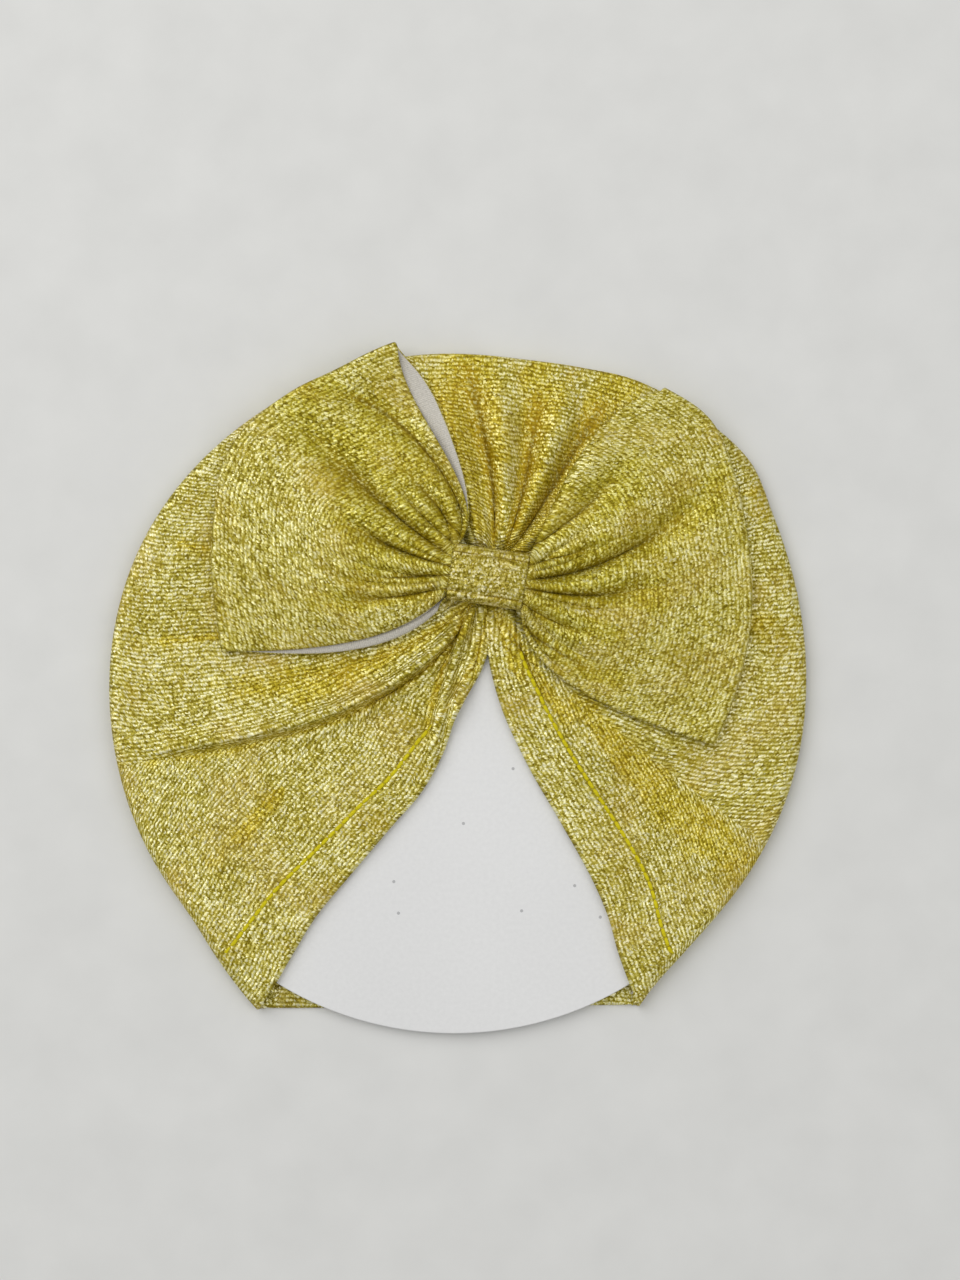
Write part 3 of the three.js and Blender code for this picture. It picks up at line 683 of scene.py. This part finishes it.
def cloth_piece(name, grid, thickness, weave, shares, materials, ring=False, inner_slot=None):
    """A closed sheet of cloth about a middle surface, with rounded edges. The rows may close to a ring. weave
    gives the place in the knit of a face's corners, in millimetres across and along the ribs. shares are how
    much painted shade each point takes in a crease and how much painted warm reflection it shows."""
    rows, cols = grid.shape[:2]
    size = rows * cols
    normals = grid_normals(grid, ring)
    half = np.broadcast_to(np.asarray(thickness, float), (rows, cols))[..., None] / 2

    def rolled(edge, neighbour):
        """The points of a rounded edge, a little past an edge of the grid."""
        return grid[edge] + unit(grid[edge] - grid[neighbour]) * (half[edge] * EDGE_ROLL)

    edges = [(np.s_[:, 0], np.s_[:, 1]), (np.s_[:, -1], np.s_[:, -2])]
    if not ring:
        edges += [(0, 1), (-1, -2)]
    layers = [(grid + normals * half).reshape(-1, 3), (grid - normals * half).reshape(-1, 3)]
    vertices = np.concatenate(layers + [rolled(*edge) for edge in edges])

    # the numbers of the points: two faces, and the rounded edges at both ends of the rows and of the columns
    outer = np.arange(size).reshape(rows, cols)
    inner = outer + size
    start = 2 * size + np.arange(rows)[:, None] + 0 * outer
    end = start + rows
    first = 2 * (size + rows) + np.arange(cols) + 0 * outer
    last = first + cols
    faces, places = [], []

    def add(row, col, corners):
        """Faces at each row and col. A corner is a layer of points, and steps along rows and columns."""
        row, col = (part.ravel()[:, None] for part in np.broadcast_arrays(row, col))
        at_rows = np.concatenate([row + step for _, step, _ in corners], 1)
        at_cols = np.concatenate([col + step for _, _, step in corners], 1)
        index = [layer[(row + i) % rows, col + j] for layer, i, j in corners]
        faces.extend(map(tuple, np.concatenate(index, 1).tolist()))
        places.append(weave(np.broadcast_to(row, at_rows.shape), at_rows, at_cols).reshape(-1, 2))

    steps = np.arange(rows if ring else rows - 1)
    across = np.arange(cols - 1)
    final = cols - 1
    add(steps[:, None], across, [(outer, 0, 0), (outer, 1, 0), (outer, 1, 1), (outer, 0, 1)])
    add(steps[:, None], across, [(inner, 0, 0), (inner, 0, 1), (inner, 1, 1), (inner, 1, 0)])
    sides = [(steps, 0, (1, 0), start, False), (steps, final, (1, 0), end, True)]
    if not ring:
        foot = rows - 1
        sides += [(0, across, (0, 1), first, True), (foot, across, (0, 1), last, False)]
    for row, col, step, edge, flipped in sides:
        for near, far in ((outer, edge), (edge, inner)):
            corners = [(near, 0, 0), (far, 0, 0), (far, *step), (near, *step)]
            add(row, col, corners[:1] + corners[:0:-1] if flipped else corners)
    if not ring:
        for row, col, side, tip in (
            (0, 0, first, start), (foot, 0, start, last), (0, final, end, first), (foot, final, last, end),
        ):
            add(row, col, [(outer, 0, 0), (side, 0, 0), (tip, 0, 0)])
            add(row, col, [(inner, 0, 0), (tip, 0, 0), (side, 0, 0)])

    piece = add_piece(name, vertices, faces, materials)
    mesh = piece.data
    mesh.uv_layers.new(name="Weave").data.foreach_set("uv", np.concatenate(places).ravel())
    if inner_slot is not None:
        slots = np.zeros(len(faces), np.int32)
        count = len(steps) * len(across)
        slots[count:2 * count] = inner_slot(steps[:, None], across).ravel()
        mesh.polygons.foreach_set("material_index", slots)
    # the painted shade of the creases, and the painted warm reflection along the folds
    for attribute, share in zip(("Crease", "Amber"), shares):
        values = np.zeros(len(vertices))
        values[:size] = values[size:2 * size] = share.ravel()
        mesh.attributes.new(attribute, "FLOAT", "POINT").data.foreach_set("value", values)
    return piece


# Materials
class Nodes:
    """Short names for building one material's nodes."""

    def __init__(self, name):
        self.material = bpy.data.materials.new(name)
        self.material.use_nodes = True
        self.tree = self.material.node_tree
        self.tree.nodes.clear()
        self.shader = self.add("ShaderNodeBsdfPrincipled")
        output = self.add("ShaderNodeOutputMaterial")
        self.link(self.shader.outputs["BSDF"], output.inputs["Surface"])

    def add(self, kind, **settings):
        node = self.tree.nodes.new(kind)
        for key, value in settings.items():
            setattr(node, key, value)
        return node

    def link(self, source, target):
        self.tree.links.new(source, target)

    def feed(self, node, sockets):
        """Link or set the inputs of a node, given by their names or numbers."""
        for key, value in sockets.items():
            if isinstance(value, bpy.types.NodeSocket):
                self.link(value, node.inputs[key])
            else:
                node.inputs[key].default_value = value
        return node

    def math(self, operation, a, b=0.0, c=0.0):
        return self.feed(self.add("ShaderNodeMath", operation=operation), {0: a, 1: b, 2: c}).outputs[0]

    def times(self, a, b, plus=0.0):
        return self.math("MULTIPLY_ADD", a, b, plus)

    def plus(self, a, b):
        return self.math("ADD", a, b)

    def vector_math(self, operation, *vectors):
        node = self.add("ShaderNodeVectorMath", operation=operation)
        return self.feed(node, dict(enumerate(vectors))).outputs[0]

    def wave(self, value, turns=1.0):
        """0 at whole numbers of value times turns, and 1 halfway between."""
        phase = self.times(value, 2 * math.pi * turns)
        return self.times(self.math("COSINE", phase), -0.5, 0.5)

    def between(self, value, low, high):
        """0 below the low value, 1 above the high one, and smooth between."""
        node = self.add("ShaderNodeMapRange", interpolation_type="SMOOTHSTEP", clamp=True)
        return self.feed(node, {0: value, 1: low, 2: high, 3: 0.0, 4: 1.0}).outputs[0]

    def mix(self, factor, a, b, blend="MIX"):
        node = self.add("ShaderNodeMix", data_type="RGBA", blend_type=blend)
        return self.feed(node, {0: factor, 6: a, 7: b}).outputs[2]

    def tint(self, color, share, strength, other, blend="MIX"):
        """A colour mixed with another one, by a share times a strength."""
        return self.mix(self.times(share, strength), color, other, blend)

    def ramp(self, value, stops):
        node = self.add("ShaderNodeValToRGB")
        elements = node.color_ramp.elements
        while len(elements) < len(stops):
            elements.new(0.5)
        for element, (position, color) in zip(elements, stops):
            element.position = position
            element.color = color
        self.link(value, node.inputs[0])
        return node.outputs["Color"]

    def vector(self, x, y):
        return self.feed(self.add("ShaderNodeCombineXYZ"), {"X": x, "Y": y}).outputs[0]

    def scaled(self, x, y, densities):
        return self.vector(self.times(x, densities[0]), self.times(y, densities[1]))

    def parts(self, vector):
        return self.feed(self.add("ShaderNodeSeparateXYZ"), {0: vector}).outputs

    def noise(self, vector, scale, detail):
        node = self.add("ShaderNodeTexNoise")
        return self.feed(node, {"Vector": vector, "Scale": scale, "Detail": detail}).outputs["Fac"]

    def cells(self, vector, scale=1.0):
        node = self.add("ShaderNodeTexVoronoi", feature="F1", voronoi_dimensions="2D")
        return self.feed(node, {"Vector": vector, "Scale": scale, "Randomness": 1.0}).outputs

    def share(self, attribute):
        return self.add("ShaderNodeAttribute", attribute_name=attribute).outputs["Fac"]

    def place(self):
        return self.add("ShaderNodeTexCoord").outputs["Object"]

    def weave(self, pitch):
        """The place in the knit, counted in ribs of this pitch and in stitches along them."""
        across, along, _ = self.parts(self.add("ShaderNodeUVMap", uv_map="Weave").outputs[0])
        return self.math("DIVIDE", across, pitch), self.math("DIVIDE", along, STITCH_LENGTH)

    def bump(self, height, strength, depth, **normal):
        """Relief of the surface, its depth in millimetres."""
        sockets = {"Strength": strength, "Distance": depth * MM, "Height": height, **normal}
        bump = self.feed(self.add("ShaderNodeBump"), sockets)
        self.link(bump.outputs[0], self.shader.inputs["Normal"])

    def finish(self, color, roughness, specular=0.5, metallic=0.0):
        """The material, once its shader is fed."""
        self.feed(self.shader, {"Base Color": color, "Roughness": roughness})
        self.feed(self.shader, {"Specular IOR Level": specular, "Metallic": metallic})
        return self.material


class KnitNodes(Nodes):
    """The pattern of the ribbed knit: its uneven ribs and stitches, and chance in each bit of yarn."""

    def __init__(self, name):
        super().__init__(name)
        ribs, self.stitches = self.weave(RIB_PITCH)
        uneven = self.noise(self.vector(ribs, self.stitches), 0.3, 1.0)
        wander = self.noise(self.vector(ribs, self.stitches), 0.05, 1.0)
        bend = self.times(uneven, 0.7, self.times(wander, 2.4))
        self.ribs = self.plus(ribs, bend)
        self.rib = self.wave(self.ribs)
        shifted = self.plus(self.stitches, self.times(self.math("FLOOR", self.ribs), 0.5))
        self.stitch = self.wave(shifted)
        self.cell = self.cells(self.scaled(self.ribs, shifted, YARN_CELLS))["Color"]
        self.chance = self.parts(self.cell)
        speck = self.parts(self.cells(self.scaled(self.ribs, shifted, YARN_SPECKS))["Color"])
        self.luck = self.times(self.chance[0], 0.62, self.times(speck[0], 0.38))

    def patches(self, scale, detail, ribs_on=0.0, stitches_on=0.0):
        """Soft patches of chance, from another part of the noise for each place moved on to."""
        across = self.plus(self.ribs, ribs_on)
        along = self.plus(self.stitches, stitches_on)
        return self.noise(self.vector(across, along), scale, detail)


def linear(red, green, blue):
    """A colour given as the screen shows it, 0 to 255, in linear light."""
    parts = []
    for part in (red, green, blue):
        share = part / 255
        parts.append(share / 12.92 if share <= 0.04045 else ((share + 0.055) / 1.055) ** 2.4)
    return (*parts, 1.0)


DARK_YARN = linear(112, 97, 0)
MID_YARN = linear(178, 165, 54)
PALE_YARN = linear(224, 215, 134)
# pale metallic yarn, partly a painted glint
FLECK_AND_GLINT = linear(255, 251, 204)
AMBER = linear(170, 140, 6)
OLIVE = linear(152, 130, 12)
TAN = linear(214, 176, 96)
SHADE = linear(92, 72, 4)
RIB_SHADE = linear(150, 132, 30)
WRONG_SIDE = linear(200, 195, 184)
WRONG_SIDE_DARK = linear(166, 162, 152)
WRONG_SIDE_PALE = linear(228, 224, 214)
THREAD_DARK = linear(190, 175, 8)
THREAD_PALE = linear(218, 205, 30)
BOARD_DARK = linear(219, 219, 218)
BOARD_PALE = linear(228, 228, 227)
BOARD_SPECK = linear(120, 120, 122)
FLOOR_DARK = linear(214, 214, 211)
FLOOR_PALE = linear(219, 219, 216)

# Cells and smaller specks of metallic yarn to a rib and to a stitch, and how far the cells tilt
YARN_CELLS = (1.8, 1.4)
YARN_SPECKS = (3.0, 2.7)
CELL_TILT = 0.6


def knit_material(name, tone=(1, 1, 1), crease_shade_colour=AMBER, crease_shade_strength=0.6, ribbed=0.34, amber_tone=(0.97, 0.89, 0.3)):
    """Ribbed jersey with a metallic yarn: ribs, stitches and bright flecks, with painted highlights on the
    rib crowns and flecks, painted shade in the creases, and painted warm reflection along the folds.
    """
    n = KnitNodes(name)

    # how bright the yarn is: chance in each cell, and a painted highlight on the crown of a rib, brighter
    # than between two
    bright = n.times(n.rib, ribbed, n.times(n.luck, 1.2, -0.155 - ribbed / 2))
    for wave, weight in ((n.stitch, 0.08), (n.wave(n.ribs, 0.5), 0.08), (n.wave(n.stitches, 0.66), 0.1)):
        bright = n.times(wave, weight, bright)
    bright = n.plus(bright, n.times(n.patches(0.06, 3.0), 0.4, -0.21))
    # the brightest cells are painted as glints
    yarn = n.ramp(bright, [(0.1, DARK_YARN), (0.47, MID_YARN), (0.76, PALE_YARN), (0.96, FLECK_AND_GLINT)])
    yarn = n.tint(yarn, n.between(n.patches(0.06, 3.0, stitches_on=40.0), 0.5, 0.75), 0.35, AMBER)
    yarn = n.tint(yarn, n.between(n.patches(0.045, 2.0, ribs_on=90.0), 0.45, 0.7), 0.16, TAN)
    yarn = n.tint(yarn, n.math("SUBTRACT", 1.0, n.between(n.rib, 0.0, 0.35)), ribbed, RIB_SHADE)

    # painted shade in the creases: a deep warm colour, and a dark line along their bottoms; the brightest
    # flecks are spared
    fleck = n.between(n.luck, 0.5, 0.8)
    crease = n.share("Crease")
    unruly = n.plus(crease, n.times(n.chance[1], 0.24, -0.12))
    yarn = n.tint(yarn, n.between(unruly, 0.1, 0.75), n.times(fleck, -0.65, crease_shade_strength), crease_shade_colour)
    yarn = n.tint(yarn, n.between(crease, 0.5, 0.9), 0.82, SHADE)

    # painted warm reflection: amber in broken patches along the folds
    broken = n.patches(0.13, 3.0, stitches_on=300.0)
    shows = n.between(n.times(broken, 1.4, n.plus(n.share("Amber"), -0.7)), 0.1, 0.55)
    yarn = n.tint(yarn, shows, n.times(fleck, -0.45, 1.0), (*amber_tone, 1.0), "MULTIPLY")
    yarn = n.mix(1.0, yarn, (*tone, 1.0), "MULTIPLY")

    # each cell of metallic yarn faces its own way, so single flecks catch the light
    normal = n.add("ShaderNodeNewGeometry").outputs["Normal"]
    away = n.vector_math("MULTIPLY_ADD", n.cell, (CELL_TILT,) * 3, (-CELL_TILT / 2,) * 3)
    facing = n.vector_math("NORMALIZE", n.vector_math("ADD", normal, away))
    n.bump(n.times(n.stitch, 0.4, n.rib), 0.35, 0.3, Normal=facing)
    metallic = n.times(n.between(n.luck, 0.45, 0.75), 0.45, 0.2)
    roughness = n.times(n.chance[2], 0.25, 0.35)
    return n.finish(yarn, roughness, specular=0.12, metallic=metallic)


def wrong_side_material(name):
    """The plain wrong side of the knit, pale grey with fine ribs."""
    n = Nodes(name)
    ribs, stitches = n.weave(RIB_PITCH / 2)
    rib = n.wave(ribs)
    specks = n.noise(n.vector(ribs, n.times(stitches, 2.0)), 1.1, 3.0)
    # a little painted shade between the fine ribs, lighter on their crowns
    level = n.times(rib, 0.15, n.times(specks, 0.85))
    n.bump(n.plus(rib, specks), 0.3, 0.2)
    return n.finish(n.ramp(level, [(0.2, WRONG_SIDE_DARK), (0.55, WRONG_SIDE), (0.9, WRONG_SIDE_PALE)]), 0.85)


def thread_material(name):
    """Yellow sewing thread with fine fibres."""
    n = Nodes(name)
    fibres = n.noise(n.place(), 2600.0, 2.0)
    n.bump(fibres, 0.3, 0.1)
    return n.finish(n.ramp(fibres, [(0.3, THREAD_DARK), (0.7, THREAD_PALE)]), 0.7, specular=0.15)


def card_material(name):
    """White board: faint fibres, and a few grey specks."""
    n = Nodes(name)
    place = n.place()
    fibres = n.noise(place, 900.0, 4.0)
    clouds = n.noise(place, 14.0, 2.0)
    shade = n.times(clouds, 0.5, n.times(fibres, 0.5))
    board = n.ramp(shade, [(0.3, BOARD_DARK), (0.7, BOARD_PALE)])
    near = n.math("LESS_THAN", n.cells(place, 38.0)["Distance"], 0.016)
    n.bump(fibres, 0.12, 0.05)
    return n.finish(n.tint(board, near, 0.55, BOARD_SPECK), 0.6)


def floor_material(name):
    n = Nodes(name)
    grain = n.noise(n.place(), 60.0, 4.0)
    return n.finish(n.ramp(grain, [(0.3, FLOOR_DARK), (0.7, FLOOR_PALE)]), 0.8)


cap_knit = knit_material("cap_knit")
bow_knit = knit_material("bow_knit", tone=(0.94, 0.93, 0.8), crease_shade_colour=OLIVE, crease_shade_strength=0.7, ribbed=0.24,
                         amber_tone=(0.91, 0.89, 0.4))
band_knit = knit_material("band_knit", tone=(0.9, 0.865, 0.8), crease_shade_colour=OLIVE, crease_shade_strength=0.65, ribbed=0.14)
wrong_side = wrong_side_material("wrong_side")
thread = thread_material("hem_thread")
board = card_material("card_board")


# The pieces
RAYS_BETWEEN = 330
RAYS_AT_HEM = 46
HEM_ZONE = 0.075
FRONT_STEPS = 92
RIM_STEPS = 12
BACK_STEPS = 8
BACK_EDGE_STEPS = 3
CORNER_ZONE = 0.03

# The lines where the ribs of the cap start afresh, going anticlockwise from the right hem, and the rays that
# the ribs run beside before, between and after them, as shares of the way round. At the crown it is the rim.
RIB_BORDERS = knot_lines((), [
    ((-62, -50, -44), (8, 95)),
    ((44, 46, 46), (8, 90)),
    ((110, 110, 108), (8, 80)),
    SHORT_CREASE,
    LONG_CREASE,
])
ROUND_THE_RIM = None
RIB_RAYS = (1.0, 0.78, ROUND_THE_RIM, 0.22, 0.17, 0.0)
BACK_FIELD = len(RIB_RAYS)


def rib_fields(place):
    """The number of the field of ribs that each place on the front lies in."""
    heading = (polar(place)[1] + 90) % 360 - 90
    field = np.zeros(heading.shape, int)
    for line in RIB_BORDERS:
        field += heading > heading_along(line, beside(line, place)[0])
    return field


def make_cap():
    hem_rays = np.linspace(0, HEM_ZONE, RAYS_AT_HEM + 1)[:-1]
    u = np.concatenate([hem_rays, np.linspace(HEM_ZONE, 1 - HEM_ZONE, RAYS_BETWEEN), 1 - hem_rays[::-1]])
    fronts = np.linspace(0, 1, FRONT_STEPS + 1) ** 1.25
    turns = np.linspace(0, math.pi, RIM_STEPS + 1)[1:]
    backs = np.linspace(0, 1, BACK_STEPS + 1)[1:]
    grid, creases, hem = cap_grid(u, fronts, turns, backs)
    grid, creases, hem = grid.transpose(1, 0, 2), creases.T, hem.T
    columns = grid.shape[1]
    around, out = walked(grid, 0), walked(grid, 1)
    rim = len(fronts) + RIM_STEPS // 2
    place = grid[..., :2]
    field = rib_fields(place)
    field[:, len(fronts) + RIM_STEPS - 1:] = BACK_FIELD

    def weave(row, rows, cols):
        kind = field[row, np.minimum(cols.min(1, keepdims=True), columns - 1)] + 0 * rows
        found = np.stack([grid[rows, cols, 1], grid[rows, cols, 0]], -1)
        for number, share in enumerate(RIB_RAYS):
            if share is ROUND_THE_RIM:
                beside_rim = out[rows, cols] - out[rows, rim]
                value = np.stack([beside_rim, around[rows, cols] - around[len(u) // 2, cols]], -1)
            else:
                ray = int(np.argmin(np.abs(u - share)))
                beside_ray = around[rows, cols] - around[ray, cols]
                value = np.stack([beside_ray + u[ray] * CAP_RIBS * RIB_PITCH, out[rows, cols]], -1)
            found = np.where((kind == number)[..., None], value, found)
        return found

    def inner_slot(row, col):
        """The wrong side shows inside, but not on the turned hems, the back's edge or the two corners."""
        corner = (col >= len(fronts) - 2) & ((u[row] < CORNER_ZONE) | (u[row] > 1 - CORNER_ZONE))
        back_edge = col >= columns - BACK_EDGE_STEPS
        return np.where((hem[row, col] > 0.5) | back_edge | corner, 0, 1)

    thickness = CLOTH + hem * (HEM_THICKNESS - CLOTH)
    shares = (creases, warm_reflection_share(CAP_CREASES + CAP_PATCHES, place))
    knits = [cap_knit, wrong_side]
    return cloth_piece("cap_cloth", grid, thickness, weave, shares, knits, inner_slot=inner_slot)


def make_bow():
    across = np.linspace(1, 0, BOW_ACROSS_STEPS + 1)
    grid, creases = bow_grid(across)
    rows = len(grid)
    closed = np.concatenate([grid, grid[:1]])
    along, side = walked(closed, 0), walked(closed, 1)
    fold = BOW_LOWER_STEPS + BOW_FOLD_STEPS // 2
    middle = len(across) // 2

    def weave(row, rows_at, cols):
        ends = np.where(row < rows // 2, fold, rows - 1 - fold)
        beside_middle = side[rows_at, cols] - side[rows_at, middle]
        return np.stack([along[rows_at, cols] - along[ends, cols], beside_middle], -1)

    def inner_slot(row, col):
        return np.ones(np.broadcast(row, col).shape)

    shares = (creases, warm_reflection_share(LEFT_CREASES + RIGHT_CREASES + BOW_PATCHES, grid[..., :2]))
    knits = [bow_knit, wrong_side]
    return cloth_piece("bow_cloth", grid, CLOTH, weave, shares, knits, ring=True, inner_slot=inner_slot)


def make_band():
    turns = np.linspace(0, 2 * math.pi, BAND_SIDES + 1)[:-1]
    along = np.linspace(0, 1, BAND_STEPS + 1)
    grid, creases = band_grid(turns, along)
    around = walked(np.concatenate([grid, grid[:1]]), 0)

    def weave(row, rows, cols):
        return np.stack([around[rows, cols], along[cols] * BAND_LENGTH], -1)

    # the grooves of the lips take painted shade, and half as much painted warm reflection
    return cloth_piece("band_cloth", grid, CLOTH, weave, (creases, 0.5 * creases), [band_knit], ring=True)


def make_card():
    """The card, with its cut edge a little rounded."""
    insets = [(CARD_EDGE, 0), (CARD_EDGE * 0.3, CARD_EDGE * 0.3), (0, CARD_EDGE)]
    profile = [(CARD_RADIUS - side, CARD_TOP - down) for side, down in insets]
    profile += [(CARD_RADIUS - side, CARD_BOTTOM + up) for side, up in reversed(insets)]
    turns = np.linspace(0, 2 * math.pi, CARD_SIDES + 1)[:-1]
    vertices = [(r * math.cos(t), r * math.sin(t), z) for r, z in profile for t in turns]
    last_ring = (len(profile) - 1) * CARD_SIDES
    faces = [tuple(range(CARD_SIDES)), tuple(reversed(range(last_ring, last_ring + CARD_SIDES)))]
    for ring in range(len(profile) - 1):
        for i in range(CARD_SIDES):
            a, b = ring * CARD_SIDES + i, ring * CARD_SIDES + (i + 1) % CARD_SIDES
            faces.append((a, a + CARD_SIDES, b + CARD_SIDES, b))
    piece = add_piece("card_sheet", vertices, faces, [board])
    piece.data.polygons.foreach_set("use_smooth", [len(face) == 4 for face in faces])
    return piece


def over_rim(u, turn):
    """The outer face of the cap where it turns over the rim, from 0 at the shoulder."""
    place, height = round_rim(shoulder_point(u), fold_point(u), turn)
    return np.append(place, height + CLOTH / 2)


def hem_line(hem, from_along, to_along, last_turn):
    """The line of stitching along the left hem (0) or the right one (1), and over the rim up to last_turn."""
    along = np.linspace(from_along, to_along, HEM_LINE_STEPS)
    beside_hem = np.linspace(0, 0.3, HEM_LINE_RAYS)
    width = hem_widths[hem](along)
    place = []
    for share, wide in zip(along, width):
        row = rib_point(np.abs(beside_hem - hem), np.full_like(beside_hem, share))
        from_edge = walked(row, 0)
        place.append([np.interp(wide, from_edge, row[:, i]) for i in range(2)])
    place = np.array(place)
    from_hems = (width, np.full_like(width, CARD_RADIUS))
    top = front_heights(place, along, from_hems if hem == 0 else from_hems[::-1])[0]
    ray = np.abs(np.interp(width[-1], from_edge, beside_hem) - hem)
    past = [over_rim(ray, turn) for turn in np.linspace(0, last_turn, 9)[1:]]
    line = np.concatenate([np.concatenate([place, top[:, None]], 1), np.array(past).reshape(-1, 3)])
    line[:, 2] += THREAD_LIFT
    return line


def make_stitches(name, line):
    """A row of lockstitches along a line, each a short thread that dips into the knit at its ends."""
    reached = walked(line, 0)
    rings = np.linspace(0, 1, THREAD_RINGS)
    turns = np.linspace(0, 2 * math.pi, THREAD_SIDES + 1)[:-1]
    to_ends = np.abs(2 * rings - 1) ** 4
    flattened = np.array((0, 0, 0.45))
    last_ring = (THREAD_RINGS - 1) * THREAD_SIDES
    vertices, faces = [], []
    for start in np.arange(0, reached[-1] - THREAD_LENGTH, THREAD_SPACING):
        lean = rng.uniform(-0.12, 0.12)
        at = start + rings * THREAD_LENGTH
        centre = np.stack([np.interp(at, reached, line[:, i]) for i in range(3)], -1)
        sideways = np.cross((0, 0, 1), unit(centre[-1] - centre[0]))
        centre[:, 2] += 0.14 - 0.3 * to_ends
        centre += sideways * lean * (rings - 0.5)[:, None]
        base = len(vertices)
        for point, r in zip(centre, THREAD_RADIUS * (1 - 0.35 * to_ends)):
            for turn in turns:
                vertices.append(point + sideways * math.cos(turn) * r + flattened * math.sin(turn) * r)
        for ring in range(base, base + last_ring, THREAD_SIDES):
            for i in range(THREAD_SIDES):
                a, b = ring + i, ring + (i + 1) % THREAD_SIDES
                faces.append((a, b, b + THREAD_SIDES, a + THREAD_SIDES))
        faces.append(tuple(base + i for i in reversed(range(THREAD_SIDES))))
        faces.append(tuple(base + last_ring + i for i in range(THREAD_SIDES)))
    return add_piece(name, vertices, faces, [thread])


cap = make_cap()
bow = make_bow()
band = make_band()
card = make_card()
left_stitches = make_stitches("left_hem_stitches", hem_line(0, 0.36, 0.985, 0.7))
right_stitches = make_stitches("right_hem_stitches", hem_line(1, 0.19, 0.985, 0.25))

for piece, node in ((cap, "cap"), (bow, "bow"), (band, "bow_band"), (card, "display_card")):
    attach(piece, "root")
    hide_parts(node)
for stitches in (left_stitches, right_stitches):
    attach(stitches, "root")


# Floor, light and camera
FLOOR_HALF = 3000
FLOOR_DROP = 0.1
WORLD_STRENGTH = 0.44
PHOTO_WIDTH, PHOTO_HEIGHT = 960, 1280
CARD_CENTRE_PX = (454.0, 696.5)
MM_PER_PX = 0.2663
CAMERA_DISTANCE = 620.0


def make_floor():
    corners = [(x * FLOOR_HALF, y * FLOOR_HALF, 0) for x, y in ((-1, -1), (1, -1), (1, 1), (-1, 1))]
    floor = add_piece("floor", corners, [(0, 1, 2, 3)], [floor_material("floor_paint")])
    floor.location.z = -FLOOR_DROP * MM


def add_area_light(name, place, size, power):
    """A round lamp, in metres and watts, that points at the middle of the card."""
    data = bpy.data.lights.new(name, "AREA")
    data.shape = "DISK"
    data.size = size
    data.energy = power
    light = bpy.data.objects.new(name, data)
    light.location = place
    x, y, z = place
    light.rotation_euler = (math.atan2(math.hypot(x, y), z), 0, math.atan2(-x, y) + math.pi)
    bpy.context.scene.collection.objects.link(light)


def add_world():
    world = bpy.data.worlds.new("studio")
    world.use_nodes = True
    background = world.node_tree.nodes["Background"]
    background.inputs[0].default_value = (1, 1, 1, 1)
    background.inputs[1].default_value = WORLD_STRENGTH
    bpy.context.scene.world = world
    bpy.context.scene.view_settings.view_transform = "Standard"


def add_camera():
    data = bpy.data.cameras.new("camera")
    data.sensor_fit = "VERTICAL"
    data.sensor_height = 36.0
    data.lens = data.sensor_height * CAMERA_DISTANCE / (PHOTO_HEIGHT * MM_PER_PX)
    data.clip_start = 0.01
    camera = bpy.data.objects.new("camera", data)
    x = (PHOTO_WIDTH / 2 - CARD_CENTRE_PX[0]) * MM_PER_PX
    y = (CARD_CENTRE_PX[1] - PHOTO_HEIGHT / 2) * MM_PER_PX
    camera.location = (x * MM, y * MM, (CAMERA_DISTANCE + FRONT_TOP) * MM)
    bpy.context.scene.collection.objects.link(camera)
    bpy.context.scene.camera = camera


make_floor()
add_area_light("key", (-0.64, 0.62, 1.1), 1.5, 12.0)
add_area_light("fill", (0.9, 0.1, 1.2), 1.2, 4.2)
add_world()
add_camera()
